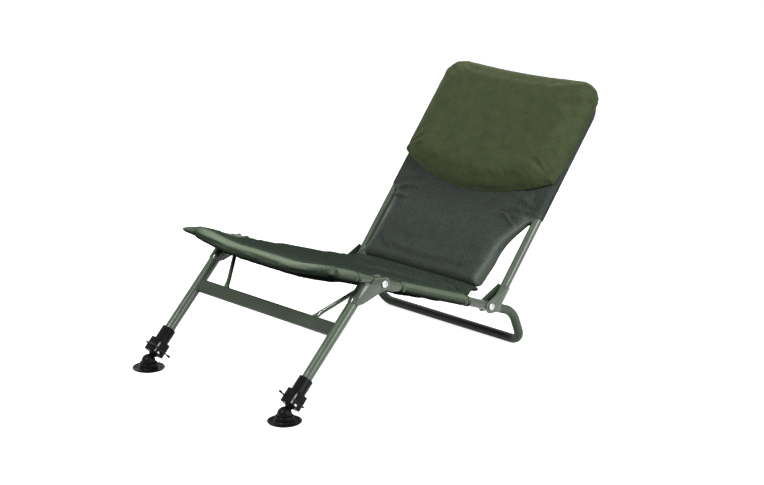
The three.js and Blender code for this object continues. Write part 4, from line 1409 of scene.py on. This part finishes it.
def make_back_pad():
    back = settle(pad_shell(*pad_grid, back_shape), "back_pad", back_cloth, back_place)

    def held(at):
        wrap = ease((at.z - back_sleeve_start + sleeve_flare) / sleeve_flare)
        side_hold = max(wrap * ease((abs(at.x) - half_width + 2 * sleeve_radius) / sleeve_radius),
                        ease((abs(at.x) - waist_at(at.z) + 2 * back_edge) / back_edge))
        return max(side_hold, ease((at.z - cover_bottom + 2 * sleeve_radius) / (2 * sleeve_radius)),
                   ease((back_bottom + 2 * back_nose - at.z) / back_nose))
    puffed(back, back_place, held, cloth_travel, back_spare_share)
    creased(back, back_place, back_folds, forward_axis)

    def near_edge(at):
        to_edge = ease((abs(at.x) - waist_at(at.z) + 2.5 * back_edge) / (2 * back_edge))
        return to_edge * ease((back_sleeve_start - at.z) / sleeve_flare)
    # Painted highlight along the free pad's rolled side edges, on the sides that face out and forward
    lay_painted_highlight(back, back_place, ((near_edge, lambda at: sideways(at, *edge_highlight_way)),))
    seam = half_width - sleeve_radius - seam_inset
    waist = half_width - waist_inset - back_edge - seam_inset
    route = [(waist, back_bottom + 2 * back_nose), (waist, back_turn),
             (seam, back_sleeve_start + seam_inset), (seam, cushion_side_bottom + seam_inset)]
    rows = [(Vector((sign * x, 0, low)), Vector((sign * end_x, 0, high)))
            for (x, low), (end_x, high) in zip(route, route[1:]) for _, sign in sides]
    stitched("back_stitching", back, back_place, rows, forward_axis)
    crossing(back, ("back_panel",))


def make_head_cushion():
    head = settle(pad_shell(*cushion_grid, cushion_shape), "fleece_cushion", fleece, back_place)

    def held(at):
        return ease((at.y - back_offset + sleeve_radius + cushion_edge) / cushion_edge)
    puffed(head, back_place, held, cushion_travel, cushion_spare_share)
    carried(head, "backrest", "fleece", "head_cushion")


def make_hem_bands():
    # The turned hems where the tubes leave the cloth
    for side, sign in sides:
        x = sign * half_width
        spans = (("front", pivot_spacing + front_sleeve_start, 1, (f"front_sleeve_{side}",)),
                 ("middle", rear_sleeve_end, -1, (f"rear_sleeve_{side}",)),
                 ("rear", rear_sleeve_start, 1, ()), ("back", back_sleeve_start, 1, (f"back_sleeve_{side}",)))
        for name, start, way, nodes in spans:
            reach = [start - way * hem_show, start + way * hem_width]
            if name == "back":
                ends = [Vector((x, back_offset, z)) for z in reach]
                place, body, material = back_place, "backrest", back_cloth
            else:
                ends = [Vector((x, -ahead, 0)) for ahead in reach]
                place, body, material = seat_place, "frame", seat_cloth
            bm = hollow(tube(ends, [], sleeve_radius - 2 * gap), sleeve_radius - tube_radius - 3 * gap)
            band = settle(soften(bm, sheet_edge, 1), f"{name}_hem_{side}", material, place)
            # Painted highlight on the hem band's outer upper side
            lay_painted_highlight(band, place, ((lambda at: side_highlight_share, lambda at: sideways(at, *side_highlight_way)),))
            carried(band, body, "nylon", *nodes)


def hood_shape(across, along, side):
    # A flat pocket with a rounded rim, drawn over the back tubes and the top bow
    sign = 1 if side else -1
    rolled = max(0, (along - 1 + roll_share) / roll_share)
    height = mix(cover_bottom, back_height, min(1, along / (1 - roll_share)))
    lean = bend_lean(height, back_height, back_bend)
    edge_x = half_width - back_bend * (1 - math.cos(lean))
    share = min(1, abs(across) / core_share)
    x = share * edge_x
    turn = max(rolled * quarter, rim_turn(across))
    sagging = crown(share, 2) * crown(min(1, abs(2 * along - 1) / hood_sag_share), 4)
    deep = hood_radius - (0 if side else hood_sag * sagging)
    out = hood_radius * math.sin(turn)
    x += out * (0 if rolled else math.cos(lean))
    height += out * (1 if rolled else math.sin(lean))
    return Vector((math.copysign(x, across), back_offset - sign * deep * math.cos(turn), height))


def make_hood():
    hood = settle(pad_shell(*hood_grid, hood_shape), "cushion_hood", back_cloth, back_place)
    evened(hood, hood_cell)
    carried(hood, "backrest", "nylon", "cushion_cover")


def make_corner_tabs():
    # The folded corners of the front hem, which end in soft points
    for side, sign in sides:
        def tab_shape(across, along, face, sign=sign):
            narrow = along ** tab_tip_share
            end = crown(max(0, 2 * along - 1), 3) if along > 0.5 else 1
            width = mix(tab_width / 2, tab_tip, narrow) * end
            thick = mix(hem_radius, tab_tip, narrow) * end * crown(across, 2)
            corner = Vector((half_width - tab_inset, -front_reach + tab_inset, 0))
            tip = Vector((half_width + tab_length, -front_reach - tab_length, tab_rise))
            run = tip - corner
            beside = Vector((run.y, -run.x, 0)).normalized()
            at = corner + run * along - beside * across * width
            at.z += thick if face else -thick
            return Vector((sign * at.x, at.y, at.z))
        tab = settle(pad_shell(*tab_grid, tab_shape), f"corner_tab_{side}", seat_cloth, seat_place)
        # Painted highlight on the corner tab's upper front side
        lay_painted_highlight(tab, seat_place, ((lambda at: end_highlight_share, lambda at: tab_highlight_way),))
        carried(tab, "frame", "nylon")


def keep_nuts():
    for name in ("front_pivot", "rear_pivot"):
        for side, _ in sides:
            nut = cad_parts[f"{name}_nut_{side}"]
            nut.data.materials.clear()
            nut.data.materials.append(zinc)


make_seat_frame()
make_saddles()
make_bolts()
keep_nuts()
make_leg_tubes()
make_leg_brackets()
make_crossbar()
make_struts()
make_housings()
make_inner_legs()
make_clips()
make_feet()
make_back_frame()
make_rear_brackets()
make_seat_cover()
make_back_pad()
make_head_cushion()
make_hem_bands()
make_corner_tabs()
make_hood()


# Floor, light and camera


def background_rays(tree):
    # 1 for the rays that should see a white background, and 0 for those that only light the chair
    rays = add_node(tree, "ShaderNodeLightPath").outputs
    seen = add_node(tree, "ShaderNodeMath", links={0: rays["Is Camera Ray"], 1: rays["Is Glossy Ray"]},
                    operation="MAXIMUM").outputs[0]
    return add_node(tree, "ShaderNodeMath", links={0: seen, 1: rays["Is Transmission Ray"]},
                    operation="MAXIMUM").outputs[0]


def make_floor():
    bm = bmesh.new()
    bmesh.ops.create_grid(bm, x_segments=1, y_segments=1, size=floor_reach)
    material, tree, shader, _ = start_material("studio_floor", Roughness=0.9)
    seen = background_rays(tree)
    tone = add_node(tree, "ShaderNodeMix", {mix_low: linear("#2c2d2c"), mix_high: linear("#ffffff")},
                    {"Factor": seen}, data_type="RGBA")
    tree.links.new(tone.outputs[mix_result], shader.inputs["Base Color"])
    glow = add_node(tree, "ShaderNodeMath", {1: floor_glow}, {0: seen}, operation="MULTIPLY").outputs[0]
    shader.inputs["Emission Color"].default_value = (1, 1, 1, 1)
    tree.links.new(glow, shader.inputs["Emission Strength"])
    floor = settle(bm, "studio_floor", material, Matrix.Identity(4), False)


def make_light(name, turn, height, distance, size, watts):
    data = bpy.data.lights.new(name, "AREA")
    data.size = size
    data.energy = watts
    lamp = bpy.data.objects.new(name, data)
    bpy.context.scene.collection.objects.link(lamp)
    away = Vector((math.sin(turn) * math.cos(height), -math.cos(turn) * math.cos(height),
                   math.sin(height)))
    lamp.matrix_world = Matrix.Translation(away * distance) @ facing(away)


def make_world():
    world = bpy.data.worlds.new("studio")
    world.use_nodes = True
    bpy.context.scene.world = world
    tree = world.node_tree
    back = tree.nodes["Background"]
    seen = background_rays(tree)
    level = add_node(tree, "ShaderNodeMapRange", {"To Min": world_glow, "To Max": 1.0}, {"Value": seen})
    tree.links.new(level.outputs["Result"], back.inputs["Strength"])
    back.inputs["Color"].default_value = (1, 1, 1, 1)


def make_camera():
    back = Vector((math.sin(view_turn) * math.cos(view_height), -math.cos(view_turn)
                   * math.cos(view_height), math.sin(view_height)))
    right = Vector((math.cos(view_turn), math.sin(view_turn), 0))
    up = back.cross(right)
    at = back * view_distance + right * view_right + up * view_up
    at += Vector((0, ankle.y + view_from_ankle, 0))
    data = bpy.data.cameras.new("camera")
    data.sensor_width = sensor
    data.lens = sensor * lens_pixels / photo_width
    camera = bpy.data.objects.new("camera", data)
    bpy.context.scene.collection.objects.link(camera)
    camera.matrix_world = Matrix.Translation(at) @ Matrix((right, up, back)).transposed().to_4x4()
    bpy.context.scene.camera = camera


make_floor()
for name, turn, *lamp in lamps:
    make_light(name, view_turn + turn, *lamp)
make_world()
make_camera()
bpy.context.scene.view_settings.view_transform = "Standard"
